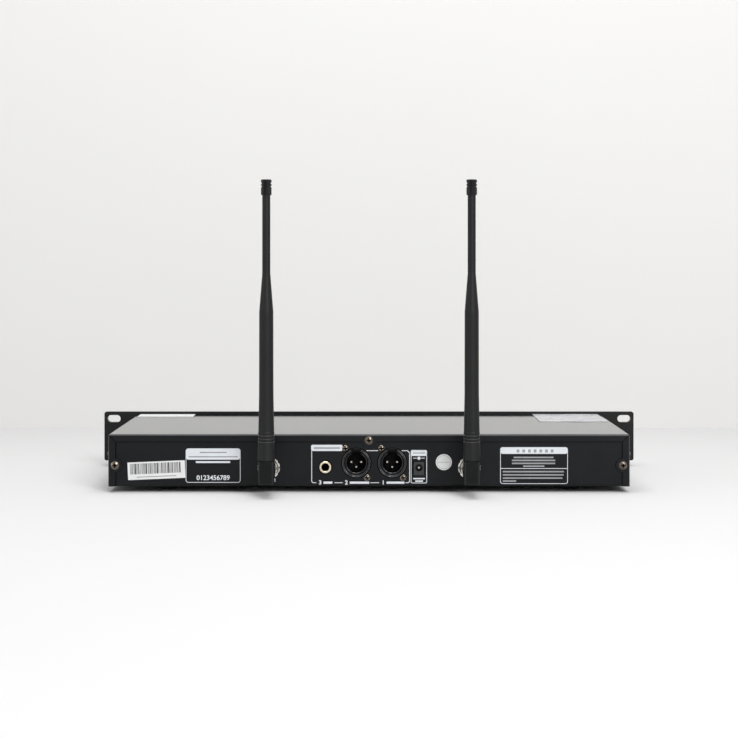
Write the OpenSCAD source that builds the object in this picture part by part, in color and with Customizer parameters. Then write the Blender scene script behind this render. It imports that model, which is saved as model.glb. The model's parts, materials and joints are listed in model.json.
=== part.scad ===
// Two-channel wireless microphone receiver in a one-unit rack case, with two hinged rear antennas.
// Millimetres. X runs along the rack, -Y is the front panel, +Y the connector side, Z is up from the table.
// Channel a is on the -X side and channel b on the +X side.

/* [Enclosure] */
// Width of the sheet-metal body
body_w = 421.8; // [410:0.2:440]
// Depth from the back of the front panel to the rear face
body_d = 175; // [165:1:230]
// Height of the sheet-metal body
body_h = 42.2; // [41.6:0.2:46]
// Thickness of the steel sheet
sheet = 1; // [0.8:0.1:1.2]
// Outer radius of the sheet-metal bends
bend_r = 1.6; // [1.4:0.1:2.4]
// Gap between the lapped sheets of cover and tray
lap = 0.05; // [0.02:0.01:0.1]
// Width of the flanges that the cover folds over the rear wall
flange_w = 6; // [5:0.1:6.6]
// Radius of the rounded tongues around the flange screws
lobe_r = 5.8; // [5:0.1:6.4]
// Width of the mitre seams at the rear top corners
seam_w = 0.3; // [0.2:0.05:0.5]
// Distance of the flange side screws from the cover's sides
flange_screw_in = 5.6; // [5:0.1:6.2]
// Distance of the flange top screw from the cover's top
top_screw_in = 4.8; // [4.4:0.1:5.6]
// Height of the flange side screws above the body's bottom
side_screw_z = 17.1; // [15:0.1:24]
// Height of the tray's folded side lips
lip_h = 14; // [13:0.5:18]

/* [Screws] */
// Radius of the pan heads
head_r = 2.7; // [2.4:0.1:2.9]
// Head radius of the flange screws
flange_head_r = 3.4; // [3:0.1:3.6]
// Height of the pan heads
head_h = 1.7; // [1.4:0.1:2]
// Radius of the screw shanks
shank_r = 1.45; // [1.3:0.05:1.5]
// Clearance of a screw in its hole
screw_fit = 0.05; // [0.02:0.01:0.1]

/* [Feet] */
// Height of the rubber feet
foot_h = 5; // [4.4:0.2:9]
// Diameter of the rubber feet
foot_d = 16; // [14:0.5:22]
// Spacing of the feet across the body
foot_dx = 330; // [280:1:360]
// Distance of the feet from the front and rear edges
foot_in = 28; // [22:1:36]

/* [Front panel] */
// Width over the rack ears
panel_w = 482.6; // [480:0.1:484]
// Height of the panel
panel_h = 44.4; // [43.4:0.1:48]
// Thickness of the panel
panel_t = 5; // [4.4:0.1:7]
// Corner radius of the panel
panel_r = 2; // [1:0.1:3]
// Width of the chamfer around the front face
panel_chamfer = 0.8; // [0.4:0.1:1.2]
// Length of the rack slots
slot_l = 12; // [10:0.1:13]
// Width of the rack slots
slot_w = 6.6; // [6:0.1:7]
// Spacing of the rack slots across the ears
slot_dx = 465.1; // [464:0.1:466]
// Spacing of the rack slots up each ear
slot_dz = 31.75; // [31:0.05:32]

/* [Displays and controls] */
// Centre of channel a's display
group_a_x = -85; // [-90:1:-80]
// Centre of channel b's display
group_b_x = 105; // [98:1:112]
// Width of the display lens
lens_w = 80; // [74:1:84]
// Height of the display lens
lens_h = 28; // [24:0.5:30]
// Thickness of the display lens
lens_t = 1.5; // [1:0.1:2]
// Width of the ledge that carries the lens
lens_ledge = 3; // [2:0.1:4]
// Distance of the knobs from the display centres
knob_dx = 62; // [58:1:66]
// Radius of the volume knobs
knob_r = 9; // [8:0.2:11]
// Length of the volume knobs
knob_l = 14; // [12:0.5:18]
// Gap between a knob and the panel
knob_gap = 0.6; // [0.4:0.1:1.2]
// Radius of the potentiometer shafts
shaft_r = 3; // [2.6:0.1:3.2]
// Running clearance of the shafts and stems
run_fit = 0.06; // [0.04:0.01:0.1]
// Distance of the buttons from the display centres
button_dx = 58; // [54:1:62]
// Spacing of the three stacked buttons
button_dz = 11; // [10:0.2:11.6]
// Width of a button cap
button_w = 12; // [9:0.5:13]
// Height of a button cap
button_h = 6.6; // [5:0.2:7]
// Gap around a button cap
button_gap = 0.25; // [0.15:0.05:0.35]
// Button travel
button_travel = 0.8; // [0.4:0.1:1]
// Distance of the power button from the body's side
power_in = 24; // [22:1:28]
// Radius of the power button
power_r = 5; // [4:0.2:6]
// Power button travel
power_travel = 2.6; // [1.5:0.1:3]

/* [Rear connectors] */
// Centre of channel a's balanced output
xlr_a_x = -18.8; // [-20:0.1:-17.6]
// Centre of channel b's balanced output
xlr_b_x = 10.3; // [9.4:0.1:11.4]
// Height of the balanced outputs above the body's bottom
xlr_z = 19; // [18.6:0.1:19.6]
// Outer radius of the balanced output shells
xlr_r = 11.8; // [11.4:0.1:12]
// Bore radius of the balanced output shells
xlr_bore_r = 8.2; // [8:0.1:8.6]
// Depth of the balanced output sockets
xlr_depth = 15; // [13:0.5:17]
// How far the shells stand out of the rear wall
xlr_proud = 1.2; // [0.6:0.1:2]
// Width of the latch notch
xlr_notch_w = 7.7; // [6:0.1:9]
// Radius of the contact pins
xlr_pin_r = 1.2; // [1:0.05:1.3]
// Radius of the contact pin circle
xlr_pin_circle = 4.03; // [3.8:0.01:4.3]
// Sideways distance of the shell screws from the centre
xlr_screw_dx = 8.75; // [8.2:0.05:9.2]
// Upward distance of the shell screws from the centre
xlr_screw_dz = 11.9; // [11.6:0.05:12.2]
// Centre of the mixed output jack
mix_x = 35.3; // [34.6:0.1:38]
// Height of the mixed output jack above the body's bottom
mix_z = 15.5; // [15:0.1:17]
// Outer radius of the jack's metal bush
mix_bush_r = 4.85; // [4.5:0.05:5.2]
// Bore radius of the jack
mix_bore_r = 3.2; // [3.1:0.02:3.4]
// Radius of the jack's panel hole
mix_hole_r = 5.9; // [5.6:0.05:6.4]
// Length of the jack's metal bush
mix_bush_l = 10; // [8:0.5:12]
// Centre of the power inlet
dc_x = -40.4; // [-44:0.1:-39.6]
// Width of the power inlet's face
dc_w = 8.6; // [8.4:0.1:9.4]
// Height of the power inlet's top edge above the body's bottom
dc_top = 19.8; // [19.4:0.1:21]
// Height of the power inlet's hole above the body's bottom
dc_hole_z = 15; // [14.6:0.1:15.4]
// Radius of the power inlet's hole
dc_hole_r = 3; // [2.8:0.05:3.2]
// Radius of the power inlet's centre pin
dc_pin_r = 1.05; // [0.9:0.05:1.25]
// Gap around the power inlet in the rear wall
dc_gap = 0.75; // [0.5:0.05:1]

/* [Antenna sockets] */
// Distance of the antenna sockets from the middle
ant_x = 81; // [70:0.1:95]
// Height of the antenna sockets above the body's bottom
bnc_z = 15.2; // [14.6:0.1:17]
// Radius of the socket thread
thread_r = 6.3; // [6.1:0.05:6.5]
// Width across the flats of the socket nut
nut_af = 15.4; // [14.6:0.1:16]
// Radius of the socket washer
washer_r = 9; // [8.6:0.1:9.4]
// Outer radius of the socket barrel
barrel_r = 4.8; // [4.75:0.01:4.85]
// Outer radius of the coupling ring
ring_r = 7.25; // [7.1:0.05:7.6]
// Clearance between ring, barrel and plug
ring_gap = 0.15; // [0.1:0.01:0.2]
// Turn of the coupling ring from locked to free, in degrees
ring_turn = 90; // [60:1:100]

/* [Antennas] */
// Distance of the hinge pins from the rear wall
pin_off = 34; // [33.6:0.1:38]
// Radius of the hinge fork's rounded foot
cheek_r = 8.6; // [8.3:0.1:9.4]
// Depth of the hinge fork
fork_d = 13; // [12.6:0.1:13.8]
// Thickness of the hinge fork's closed back
fork_back = 1; // [0.8:0.1:1.4]
// Height of the seam between fork and whip above the hinge pin
fork_top = 9.6; // [8.8:0.1:10]
// Width of the hinge fork
knuckle_w = 12.6; // [12.4:0.1:14]
// Thickness of the hinge tongue
tongue_t = 4.9; // [4.4:0.1:5.4]
// Gap beside the hinge tongue
tongue_gap = 0.15; // [0.1:0.05:0.3]
// Radius of the hinge pins
hinge_r = 1.5; // [1.2:0.05:1.8]
// Radius of the antenna collar at its foot
collar_r = 6.9; // [6.6:0.05:7.2]
// Radius of the whip above the collar
whip_low_r = 6.2; // [6:0.05:6.4]
// Radius of the whip's straight middle
whip_mid_r = 5.6; // [5.2:0.05:5.8]
// Radius of the whip's thin upper part
whip_top_r = 3.2; // [2.8:0.05:3.4]
// Height of the ribbed band above the hinge pin
rib_z = 24.8; // [20:0.1:26]
// Height of the end of the low taper above the hinge pin
taper_z = 62; // [55:1:70]
// Height of the start of the cone above the hinge pin
cone_z = 127; // [115:0.5:135]
// Height of the cone
cone_h = 30.2; // [24:0.2:36]
// Height of the tip cap's lower edge above the hinge pin
cap_z = 219; // [200:0.5:240]
// Length of the tip cap
cap_l = 12.4; // [10:0.2:15]
// Radius of the tip cap
cap_r = 4.2; // [3.8:0.05:4.4]

/* [Boards] */
// Height of the main board's top above the body's bottom
board_z = 9; // [8.6:0.1:9.4]
// Thickness of the circuit boards
board_t = 1.6; // [1.2:0.1:1.8]
// Distance of the main board from the rear wall
board_rear_in = 30; // [28:1:36]
// Distance of the main board from the front panel
board_front_in = 55; // [50:1:60]
// Half the width of the main board
board_hx = 148; // [140:1:155]
// Distance of the display board from the front panel
display_off = 9; // [8.6:0.1:10]

/* [Hidden] */
$fn = 48;
channels = [0, 1];
sides = [-1, 1];
z_bot = foot_h;
z_top = foot_h + body_h;
wall_y = -sheet - lap;
wall_in = wall_y - sheet;
panel_y = -body_d;
front_y = panel_y - panel_t;
panel_cz = z_bot + panel_h / 2;
pin_y = wall_y + pin_off;
y_low = front_y - knob_gap - knob_l;
y_high = pin_y + max(collar_r, fork_d / 2);
y_mid = (y_low + y_high) / 2;
over = 1;
small = 0.3;

tray_w = body_w - 2 * (sheet + lap);
tray_top = z_top - bend_r - lap;
lip_relief = 4;
hole_r = shank_r + screw_fit;
dome_drop = 0.75 * head_h;
recess_w = 1.1;
recess_l = 1.3 * head_r;
recess_d = 0.7 * head_h;

flange_screw_top = z_top - top_screw_in;
flange_screw_x = body_w / 2 - flange_screw_in;
flange_screw_side = z_bot + side_screw_z;
cover_screw_in = 42;
cover_screw_up = 8;
cover_screw_z = z_bot + cover_screw_up;
cover_screw_l = 6;
rear_screw_l = 6;

panel_screw_x = body_w / 2 - 7;
panel_screw_dz = 12;
panel_screw_grip = 3;

group_x = [group_a_x, group_b_x];
knob_x = [group_a_x - knob_dx, group_b_x - knob_dx];
button_x = [group_a_x + button_dx, group_b_x + button_dx];
button_rows = [1, 0, -1];
window_w = lens_w - 2 * lens_ledge;
window_h = lens_h - 2 * lens_ledge;
lcd_gap = 0.4;
lcd_w = lens_w - 1;
lcd_h = lens_h - 1;
lcd_y = panel_y + sheet + 0.4;
board_front = panel_y + display_off;
button_flange = 0.8;
button_flange_t = 1;
button_rest = 0.1;
button_proud = 1.5;
button_r = 1;
stem_r = 1.6;
stem_in = 0.5;
switch_w = 6.2;
switch_t = 3.4;
switch_y = board_front - switch_t;
switch_bore_d = stem_in + button_travel + 0.6;
column_w = button_w + 2 * button_flange + 2;
column_h = 2 * button_dz + button_h + 2 * button_flange + 1.4;
power_x = power_in - body_w / 2;
power_proud = 3;
power_cap_y = panel_y + sheet - power_travel - 0.6;
power_stem_r = 2.2;
power_stem_in = 3.5;
power_switch_w = 13;
power_switch_l = 16;
power_switch_y = panel_y + sheet;
power_bore_d = power_stem_in + power_travel + 1;
pot_w = 11;
pot_bush_r = shaft_r + 0.6;
pot_bush_proud = 1.5;
pot_floor = 4;
shaft_out = knob_l - 3;
knob_floor = knob_gap + shaft_out + small;
knob_recess_r = pot_bush_r + 1;
knob_recess_d = 2.4;
flute_count = 20;
flute_r = 0.9;
pointer_w = 1.2;
pointer_d = 0.5;

xlr_x = [xlr_a_x, xlr_b_x];
xlr_cz = z_bot + xlr_z;
xlr_rim = wall_y + xlr_proud;
xlr_floor = xlr_rim - xlr_depth;
xlr_insert_t = 3;
xlr_back_t = 2.5;
xlr_back = xlr_floor - xlr_insert_t - xlr_back_t;
xlr_flange_w = 26;
xlr_flange_h = 30;
xlr_flange_t = 2;
xlr_flange_r = 2.5;
xlr_body_r = xlr_bore_r + 1.8;
xlr_hole_gap = 0.25;
xlr_notch_d = 8;
xlr_notch_top = xlr_r - 0.8;
xlr_tip = xlr_rim - 4.6;
xlr_tail = 5;
xlr_pin_up = 0.33;
xlr_pins_at = [[-xlr_pin_circle, 0], [xlr_pin_circle, 0], [0, -xlr_pin_circle]];
xlr_screw_l = xlr_flange_t + sheet + 3;

mix_cz = z_bot + mix_z;
mix_proud = 1.4;
mix_mouth = wall_y + mix_proud;
mix_bush_end = mix_mouth - mix_bush_l;
mix_body_y = wall_in - small;
mix_body_l = 28;
mix_body_w = 14;
mix_body_up = 6.4;
mix_inner_r = mix_bore_r + 0.4;
dc_cz = z_bot + dc_hole_z;
dc_low = z_bot + board_z;
dc_sunk = 0.4;
dc_face = wall_y - dc_sunk;
dc_l = 14;
dc_hole_d = 9.5;
dc_pin_in = 1;
dc_pin_root = 2;

socket_x = [-ant_x, ant_x];
socket_z = z_bot + bnc_z;
nut_gap = 0.05;
washer_t = 0.8;
nut_t = 2.2;
nut_y = wall_y + washer_t;
thread_out = 0.6;
thread_end = nut_y + nut_t + thread_out;
barrel_l = 11.6;
barrel_end = thread_end + barrel_l;
socket_flange_r = 8;
socket_flange_t = 2.2;
tail_r = 4;
tail_l = 7;
tail_end = wall_in - socket_flange_t - tail_l;
barrel_t = 0.75;
plug_out_r = barrel_r - barrel_t;
bore_r = plug_out_r + ring_gap;
bore_d = 9;
core_r = 2.3;
core_l = 5;
contact_r = 0.9;
contact_tail = 2;
lug_r = 0.95;
lug_out = 0.75;
lug_reach = barrel_r + lug_out;
lug_in = 3.2;
lug_y = barrel_end - lug_in;
lug_gap = 0.2;
ring_in_r = barrel_r + ring_gap;
ring_groove_r = lug_reach + lug_gap;
ring_start = thread_end + small;
ring_t = 1.35;
plug_flange_r = ring_r - ring_t;
plug_flange_t = 1.4;
plug_gap = 0.1;
plug_y = barrel_end + plug_gap;
plug_seat = plug_y + plug_flange_t;
neck_r = 4.6;
ring_lip = 1.7;
ring_end = plug_seat + ring_gap + ring_lip;
ring_chamber = plug_y - ring_gap;
ring_flutes = 12;
ring_flute_r = 0.8;
core_gap = 0.5;
plug_in_r = core_r + core_gap;
plug_in_d = 7;
plug_cap_t = 1;

slot_half = tongue_t / 2 + tongue_gap;
knuckle_y = ring_end + small;
knuckle_boss_r = knuckle_w / 2;
web_gap = 0.15;
web_y = pin_y - cheek_r - web_gap;
neck_end = web_y - 1.2;
block_round = 1.2;
fork_round = 2.6;
fork_edge = 1;
tongue_r = fork_d / 2 - fork_back - tongue_gap;
spigot_r = 3.5;
spigot_l = 12;
spigot_top = fork_top + spigot_l;
pin_head_r = hinge_r + 0.9;
pin_head_t = 0.7;
pin_head_gap = 0.05;
collar_up_r = collar_r - 0.3;
rib_pitch = 2.5;
rib_d = 0.5;
rib_w = 0.8;
rib_top = rib_z + 3 * rib_pitch + 0.4;
whip_end = cap_z + cap_l - 4;
cap_fit = 0.02;
cap_groove = 0.55;

board_low = z_bot + board_z - board_t;
board_top = z_bot + board_z;
board_rear = wall_in - board_rear_in;
board_end = panel_y + board_front_in;
board_tab_y = wall_in - 2;
board_tab_half = 8;
standoff_r = 2.9;
standoff_x = [-board_hx + 6, 0, board_hx - 6];
standoff_y = [board_rear - 6, board_end + 6];
thread_hole_r = shank_r + screw_fit;
board_screw_l = 6;
coax_r = 1.3;
coax_bend = 4;
coax_in = 8;
coax_run = board_rear - coax_in;
can_w = 44;
can_l = 34;
can_h = 9;
can_t = 0.5;
can_gap = 4;
can_y = coax_run - coax_bend - can_gap;
display_in = 4;
display_low = z_bot + display_in;
display_high = z_bot + body_h - display_in;
ribbon_w = 26;
ribbon_t = 0.9;
ribbon_up = 5;
ribbon_z = board_top + ribbon_up;
ribbon_bend = 2.5;
ribbon_in = 14;
ribbon_end = board_end + ribbon_in;
cap_can_r = 5;
cap_can_h = 13;
cap_can_x = [-36, -22, -8, 6];
cap_can_in = 24;
cap_can_y = board_rear - cap_can_in;

black_paint = [0.1, 0.1, 0.11];
black_plastic = [0.07, 0.07, 0.07];
black_rubber = [0.12, 0.12, 0.12];
steel = [0.75, 0.75, 0.74];
nickel = [0.8, 0.79, 0.76];
brass = [0.83, 0.66, 0.32];
white_plastic = [0.92, 0.92, 0.9];
board_green = [0.1, 0.35, 0.2];
smoke = [0.12, 0.14, 0.16];

// Places a piece so that the whole object stands centred on the origin
module seat() {
    translate([0, -y_mid, 0]) children();
}

// Outline in the XZ plane, drawn out from y0 to y1
module along_y(y0, y1) {
    translate([0, y1, 0]) rotate([90, 0, 0]) linear_extrude(y1 - y0) children();
}

// Outline in the YZ plane, drawn out from x0 to x1
module along_x(x0, x1) {
    translate([x0, 0, 0]) rotate([90, 0, 90]) linear_extrude(x1 - x0) children();
}

// Profile of radius and Y, turned about a line along Y
module turned_y(x, z) {
    translate([x, 0, z]) rotate([-90, 0, 0]) rotate_extrude() children();
}

module bar_y(x, z, r, y0, y1) {
    translate([x, y0, z]) rotate([-90, 0, 0]) cylinder(r = r, h = y1 - y0);
}

module bar_x(y, z, r, x0, x1) {
    translate([x0, y, z]) rotate([0, 90, 0]) cylinder(r = r, h = x1 - x0);
}

module rounded_rect(w, h, r) {
    square([w - 2 * r, h], center = true);
    square([w, h - 2 * r], center = true);
    for (sx = sides) for (sy = sides) translate([sx * (w / 2 - r), sy * (h / 2 - r)]) circle(r = r);
}

// Rectangle from x = 0 and y = 0 with its two lower corners rounded
module trough(d, h, r) {
    translate([r, 0]) square([d - 2 * r, h]);
    translate([0, r]) square([d, h - r]);
    translate([r, r]) circle(r = r);
    translate([d - r, r]) circle(r = r);
}

// Rectangle centred on x = 0 with its two upper corners rounded
module crown(w, h, r) {
    translate([-w / 2, 0]) square([w, h - r]);
    translate([r - w / 2, 0]) square([w - 2 * r, h]);
    for (s = sides) translate([s * (w / 2 - r), h - r]) circle(r = r);
}

module obround(l, w) {
    square([l - w, w], center = true);
    for (s = sides) translate([s * (l - w) / 2, 0]) circle(r = w / 2);
}

// Pan-head screw standing on z = 0, shank downwards, with a cross recess
module screw(l, r = head_r) {
    dome_r = (r * r + dome_drop * dome_drop) / (2 * dome_drop);
    difference() {
        union() {
            rotate_extrude() intersection() {
                square([r, head_h]);
                translate([0, head_h - dome_r]) circle(r = dome_r);
            }
            translate([0, 0, -l]) cylinder(r = shank_r, h = l + head_h / 4);
        }
        for (turn = [0, 90]) rotate([0, 0, turn])
            translate([0, 0, head_h]) cube([recess_w, recess_l, 2 * recess_d], center = true);
    }
}

module screw_rear(x, y, z, l, r = head_r) {
    translate([x, y, z]) rotate([-90, 0, 0]) screw(l, r);
}

// The body's outer block, drawn in by a margin and carried on past its open front and bottom
module body_block(margin, past) {
    r = bend_r - margin;
    w = body_w - 2 * margin;
    h = body_h - margin + past;
    d = body_d - margin + past;
    intersection() {
        translate([0, 0, z_bot - past]) along_y(panel_y - past, over) crown(w, h, r);
        translate([0, panel_y - past, z_bot - past]) linear_extrude(h + over) crown(w, d, r);
        along_x(-body_w, body_w) rear_corner(margin, past, r);
    }
}

// Side view of the body with its rear top corner rounded
module rear_corner(margin, past, r) {
    h = body_h - margin + past;
    d = body_d - margin + past;
    translate([panel_y - past, z_bot - past]) square([d, h - r]);
    translate([panel_y - past, z_bot - past]) square([d - r, h]);
    translate([-margin - r, z_top - margin - r]) circle(r = r);
}

module flange_lobes() {
    translate([0, flange_screw_top]) circle(r = lobe_r);
    for (s = sides) translate([s * flange_screw_x, flange_screw_side]) circle(r = lobe_r);
}

module flange_holes() {
    translate([0, flange_screw_top]) circle(r = hole_r);
    for (s = sides) translate([s * flange_screw_x, flange_screw_side]) circle(r = hole_r);
}

module top_cover() {
    window_low = z_bot - over;
    window_top = z_top - flange_w;
    diagonal = flange_w * sqrt(2) + 2 * over;
    color(black_paint) seat() difference() {
        body_block(0, 0);
        body_block(sheet, over);
        along_y(-sheet - over, over) difference() {
            translate([-body_w / 2 + flange_w, window_low])
                square([body_w - 2 * flange_w, window_top - window_low]);
            flange_lobes();
        }
        along_y(-sheet - over, over) flange_holes();
        for (s = sides) translate([s * body_w / 2, 0, z_top]) rotate([0, s * 45, 0])
            translate([-seam_w / 2, -sheet, -diagonal + over]) cube([seam_w, sheet + over, diagonal]);
        for (s = sides) for (y = [-cover_screw_in, panel_y + cover_screw_in])
            bar_x(y, cover_screw_z, hole_r, s * body_w / 2 - 2 * sheet, s * body_w / 2 + 2 * sheet);
    }
}

module rear_cutouts() {
    for (c = channels) {
        translate([xlr_x[c], xlr_cz]) circle(r = xlr_r + xlr_hole_gap);
        for (s = sides) translate([xlr_x[c] + s * xlr_screw_dx, xlr_cz + s * xlr_screw_dz])
            circle(r = hole_r);
        translate([socket_x[c], socket_z]) circle(r = thread_r + nut_gap);
    }
    translate([mix_x, mix_cz]) circle(r = mix_hole_r);
    translate([dc_x - dc_w / 2 - dc_gap, dc_low - dc_gap])
        square([dc_w + 2 * dc_gap, dc_top + z_bot - dc_low + 2 * dc_gap]);
    flange_holes();
}

module front_cutouts() {
    for (c = channels) {
        translate([group_x[c], panel_cz]) square([lcd_w + 2, lcd_h + 2], center = true);
        translate([button_x[c], panel_cz]) square([column_w, column_h], center = true);
        translate([knob_x[c], panel_cz]) circle(r = pot_bush_r + small);
    }
    translate([power_x, panel_cz]) circle(r = power_r + small);
    panel_screw_marks() circle(r = hole_r);
}

module panel_screw_marks() {
    for (sx = sides) for (sz = sides)
        translate([sx * panel_screw_x, panel_cz + sz * panel_screw_dz]) children();
}

module foot_places() {
    for (s = sides) for (y = [-foot_in, panel_y + foot_in])
        translate([s * foot_dx / 2, y, 0]) children();
}

module chassis_tray() {
    d = wall_y - panel_y;
    h = tray_top - z_bot;
    wall_half = tray_w / 2 - bend_r;
    lip_y0 = panel_y + sheet + lip_relief;
    lip_y1 = wall_in - lip_relief;
    color(black_paint) seat() difference() {
        union() {
            along_x(-wall_half, wall_half) translate([panel_y, z_bot]) difference() {
                trough(d, h, bend_r);
                translate([sheet, sheet]) trough(d - 2 * sheet, h, bend_r - sheet);
            }
            along_y(lip_y0, lip_y1) translate([-tray_w / 2, z_bot]) difference() {
                trough(tray_w, lip_h, bend_r);
                translate([sheet, sheet]) trough(tray_w - 2 * sheet, lip_h, bend_r - sheet);
            }
        }
        along_y(wall_in - over, wall_y + over) rear_cutouts();
        along_y(panel_y - over, panel_y + sheet + over) front_cutouts();
        foot_places() translate([0, 0, z_bot - over]) cylinder(r = hole_r, h = sheet + 2 * over);
        for (s = sides) for (y = [-cover_screw_in, panel_y + cover_screw_in])
            bar_x(y, cover_screw_z, hole_r, s * tray_w / 2 - 2 * sheet, s * tray_w / 2 + sheet);
    }
}

module front_panel() {
    edge = panel_chamfer * sqrt(2);
    color(black_paint) seat() difference() {
        along_y(front_y, panel_y) translate([0, panel_cz]) rounded_rect(panel_w, panel_h, panel_r);
        for (s = sides) translate([0, front_y, panel_cz + s * panel_h / 2]) rotate([45, 0, 0])
            cube([panel_w + 2 * over, edge, edge], center = true);
        for (s = sides) translate([s * panel_w / 2, front_y, panel_cz]) rotate([0, 0, 45])
            cube([edge, edge, panel_h + 2 * over], center = true);
        along_y(front_y - over, panel_y + over) panel_holes();
        along_y(front_y - over, front_y + lens_t) for (c = channels)
            translate([group_x[c], panel_cz])
                rounded_rect(lens_w + 2 * run_fit, lens_h + 2 * run_fit, panel_r);
        along_y(panel_y - panel_screw_grip - small, panel_y + over) panel_screw_marks() circle(r = hole_r);
    }
}

module panel_holes() {
    for (sx = sides) for (sz = sides)
        translate([sx * slot_dx / 2, panel_cz + sz * slot_dz / 2]) obround(slot_l, slot_w);
    for (c = channels) {
        translate([group_x[c], panel_cz]) square([window_w, window_h], center = true);
        translate([knob_x[c], panel_cz]) circle(r = pot_bush_r + small);
        for (row = button_rows) translate([button_x[c], panel_cz + row * button_dz])
            rounded_rect(button_w + 2 * button_gap, button_h + 2 * button_gap, button_r + button_gap);
    }
    translate([power_x, panel_cz]) circle(r = power_r + small);
}

module rubber_feet() {
    well_r = head_r + 0.4;
    well_d = 0.55 * foot_h;
    color(black_rubber) seat() foot_places() rotate_extrude() difference() {
        polygon([[hole_r, well_d], [well_r, well_d], [well_r, 0], [foot_d / 2 - 1, 0],
            [foot_d / 2 - 0.4, 0.6], [foot_d / 2, foot_h - 0.6], [foot_d / 2 - 0.4, foot_h],
            [hole_r, foot_h]]);
    }
}

module foot_screws() {
    well_d = 0.55 * foot_h;
    color(steel) seat() foot_places() translate([0, 0, well_d]) rotate([180, 0, 0])
        screw(foot_h - well_d + sheet + 2);
}

module cover_rear_screws() {
    color(steel) seat() {
        screw_rear(0, 0, flange_screw_top, rear_screw_l, flange_head_r);
        for (s = sides)
            screw_rear(s * flange_screw_x, 0, flange_screw_side, rear_screw_l, flange_head_r);
    }
}

module cover_side_screws() {
    color(steel) seat() for (s = sides) for (y = [-cover_screw_in, panel_y + cover_screw_in])
        translate([s * body_w / 2, y, cover_screw_z]) rotate([0, s * 90, 0]) screw(cover_screw_l);
}

module front_panel_screws() {
    color(steel) seat() for (sx = sides) for (sz = sides)
        screw_rear(sx * panel_screw_x, panel_y + sheet, panel_cz + sz * panel_screw_dz,
            sheet + panel_screw_grip);
}

// Balanced output shell: flange behind the wall, lipped ring through it, latch notch at the top
module xlr_shell(c) {
    color(black_plastic) seat() difference() {
        union() {
            turned_y(xlr_x[c], xlr_cz) xlr_outline();
            along_y(wall_in - xlr_flange_t, wall_in) translate([xlr_x[c], xlr_cz])
                rounded_rect(xlr_flange_w, xlr_flange_h, xlr_flange_r);
        }
        bar_y(xlr_x[c], xlr_cz, xlr_bore_r, xlr_floor - xlr_insert_t, xlr_rim + over);
        translate([xlr_x[c] - xlr_notch_w / 2, xlr_rim - xlr_notch_d, xlr_cz])
            cube([xlr_notch_w, xlr_notch_d + over, xlr_notch_top]);
        for (p = xlr_pins_at)
            bar_y(xlr_x[c] + p[0], xlr_cz + xlr_pin_up + p[1], xlr_pin_r + screw_fit,
                xlr_back - over, xlr_floor);
        for (s = sides) bar_y(xlr_x[c] + s * xlr_screw_dx, xlr_cz + s * xlr_screw_dz, hole_r,
            wall_in - xlr_flange_t - over, wall_in + over);
    }
}

module xlr_outline() {
    lip = 0.5;
    groove = 0.5;
    band = xlr_bore_r + 1.8;
    funnel_y = xlr_rim - 1.2;
    polygon([[0, xlr_back], [xlr_body_r, xlr_back], [xlr_body_r, wall_in - xlr_flange_t],
        [xlr_r, wall_in - xlr_flange_t], [xlr_r, xlr_rim - lip], [xlr_r - lip, xlr_rim],
        [band, xlr_rim], [band, xlr_rim - groove], [band - groove, xlr_rim - groove],
        [band - groove, xlr_rim], [xlr_bore_r - small, funnel_y], [0, funnel_y]]);
}

module xlr_inserts() {
    color(black_plastic) seat() for (c = channels) difference() {
        bar_y(xlr_x[c], xlr_cz, xlr_bore_r - screw_fit, xlr_floor - xlr_insert_t, xlr_floor);
        for (p = xlr_pins_at) bar_y(xlr_x[c] + p[0], xlr_cz + xlr_pin_up + p[1], xlr_pin_r + screw_fit,
            xlr_floor - xlr_insert_t - over, xlr_floor + over);
    }
}

module xlr_pins() {
    tip = 0.4 * xlr_pin_r;
    tail_end = xlr_back - xlr_tail;
    color(brass) seat() for (c = channels) for (p = xlr_pins_at)
        turned_y(xlr_x[c] + p[0], xlr_cz + xlr_pin_up + p[1])
            polygon([[0, tail_end], [xlr_pin_r, tail_end], [xlr_pin_r, xlr_tip - tip],
                [xlr_pin_r - tip, xlr_tip], [0, xlr_tip]]);
}

module xlr_screws() {
    color(steel) seat() for (c = channels) for (s = sides)
        screw_rear(xlr_x[c] + s * xlr_screw_dx, wall_y, xlr_cz + s * xlr_screw_dz, xlr_screw_l);
}

module mix_jack_body() {
    y0 = mix_body_y - mix_body_l;
    color(black_plastic) seat() difference() {
        translate([mix_x - mix_body_w / 2, y0, board_top])
            cube([mix_body_w, mix_body_l, mix_cz + mix_body_up - board_top]);
        bar_y(mix_x, mix_cz, mix_bush_r + screw_fit, mix_bush_end, mix_body_y + over);
        bar_y(mix_x, mix_cz, mix_inner_r, y0 + 2, mix_body_y);
    }
}

module mix_jack_bush() {
    edge = 0.4;
    color(brass) seat() turned_y(mix_x, mix_cz)
        polygon([[mix_bore_r, mix_bush_end], [mix_bush_r, mix_bush_end], [mix_bush_r, mix_mouth - edge],
            [mix_bush_r - edge, mix_mouth], [mix_bore_r + edge / 2, mix_mouth],
            [mix_bore_r, mix_mouth - edge / 2]]);
}

module dc_jack_body() {
    color(black_plastic) seat() difference() {
        translate([dc_x - dc_w / 2, dc_face - dc_l, dc_low]) cube([dc_w, dc_l, z_bot + dc_top - dc_low]);
        bar_y(dc_x, dc_cz, dc_hole_r, dc_face - dc_hole_d, dc_face + over);
        bar_y(dc_x, dc_cz, dc_pin_r + screw_fit, dc_face - dc_hole_d - dc_pin_root, dc_face);
    }
}

module dc_jack_pin() {
    edge = 0.3;
    y0 = dc_face - dc_hole_d - dc_pin_root;
    y1 = dc_face - dc_pin_in;
    color(nickel) seat() turned_y(dc_x, dc_cz)
        polygon([[0, y0], [dc_pin_r, y0], [dc_pin_r, y1 - edge], [dc_pin_r - edge, y1], [0, y1]]);
}

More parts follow.
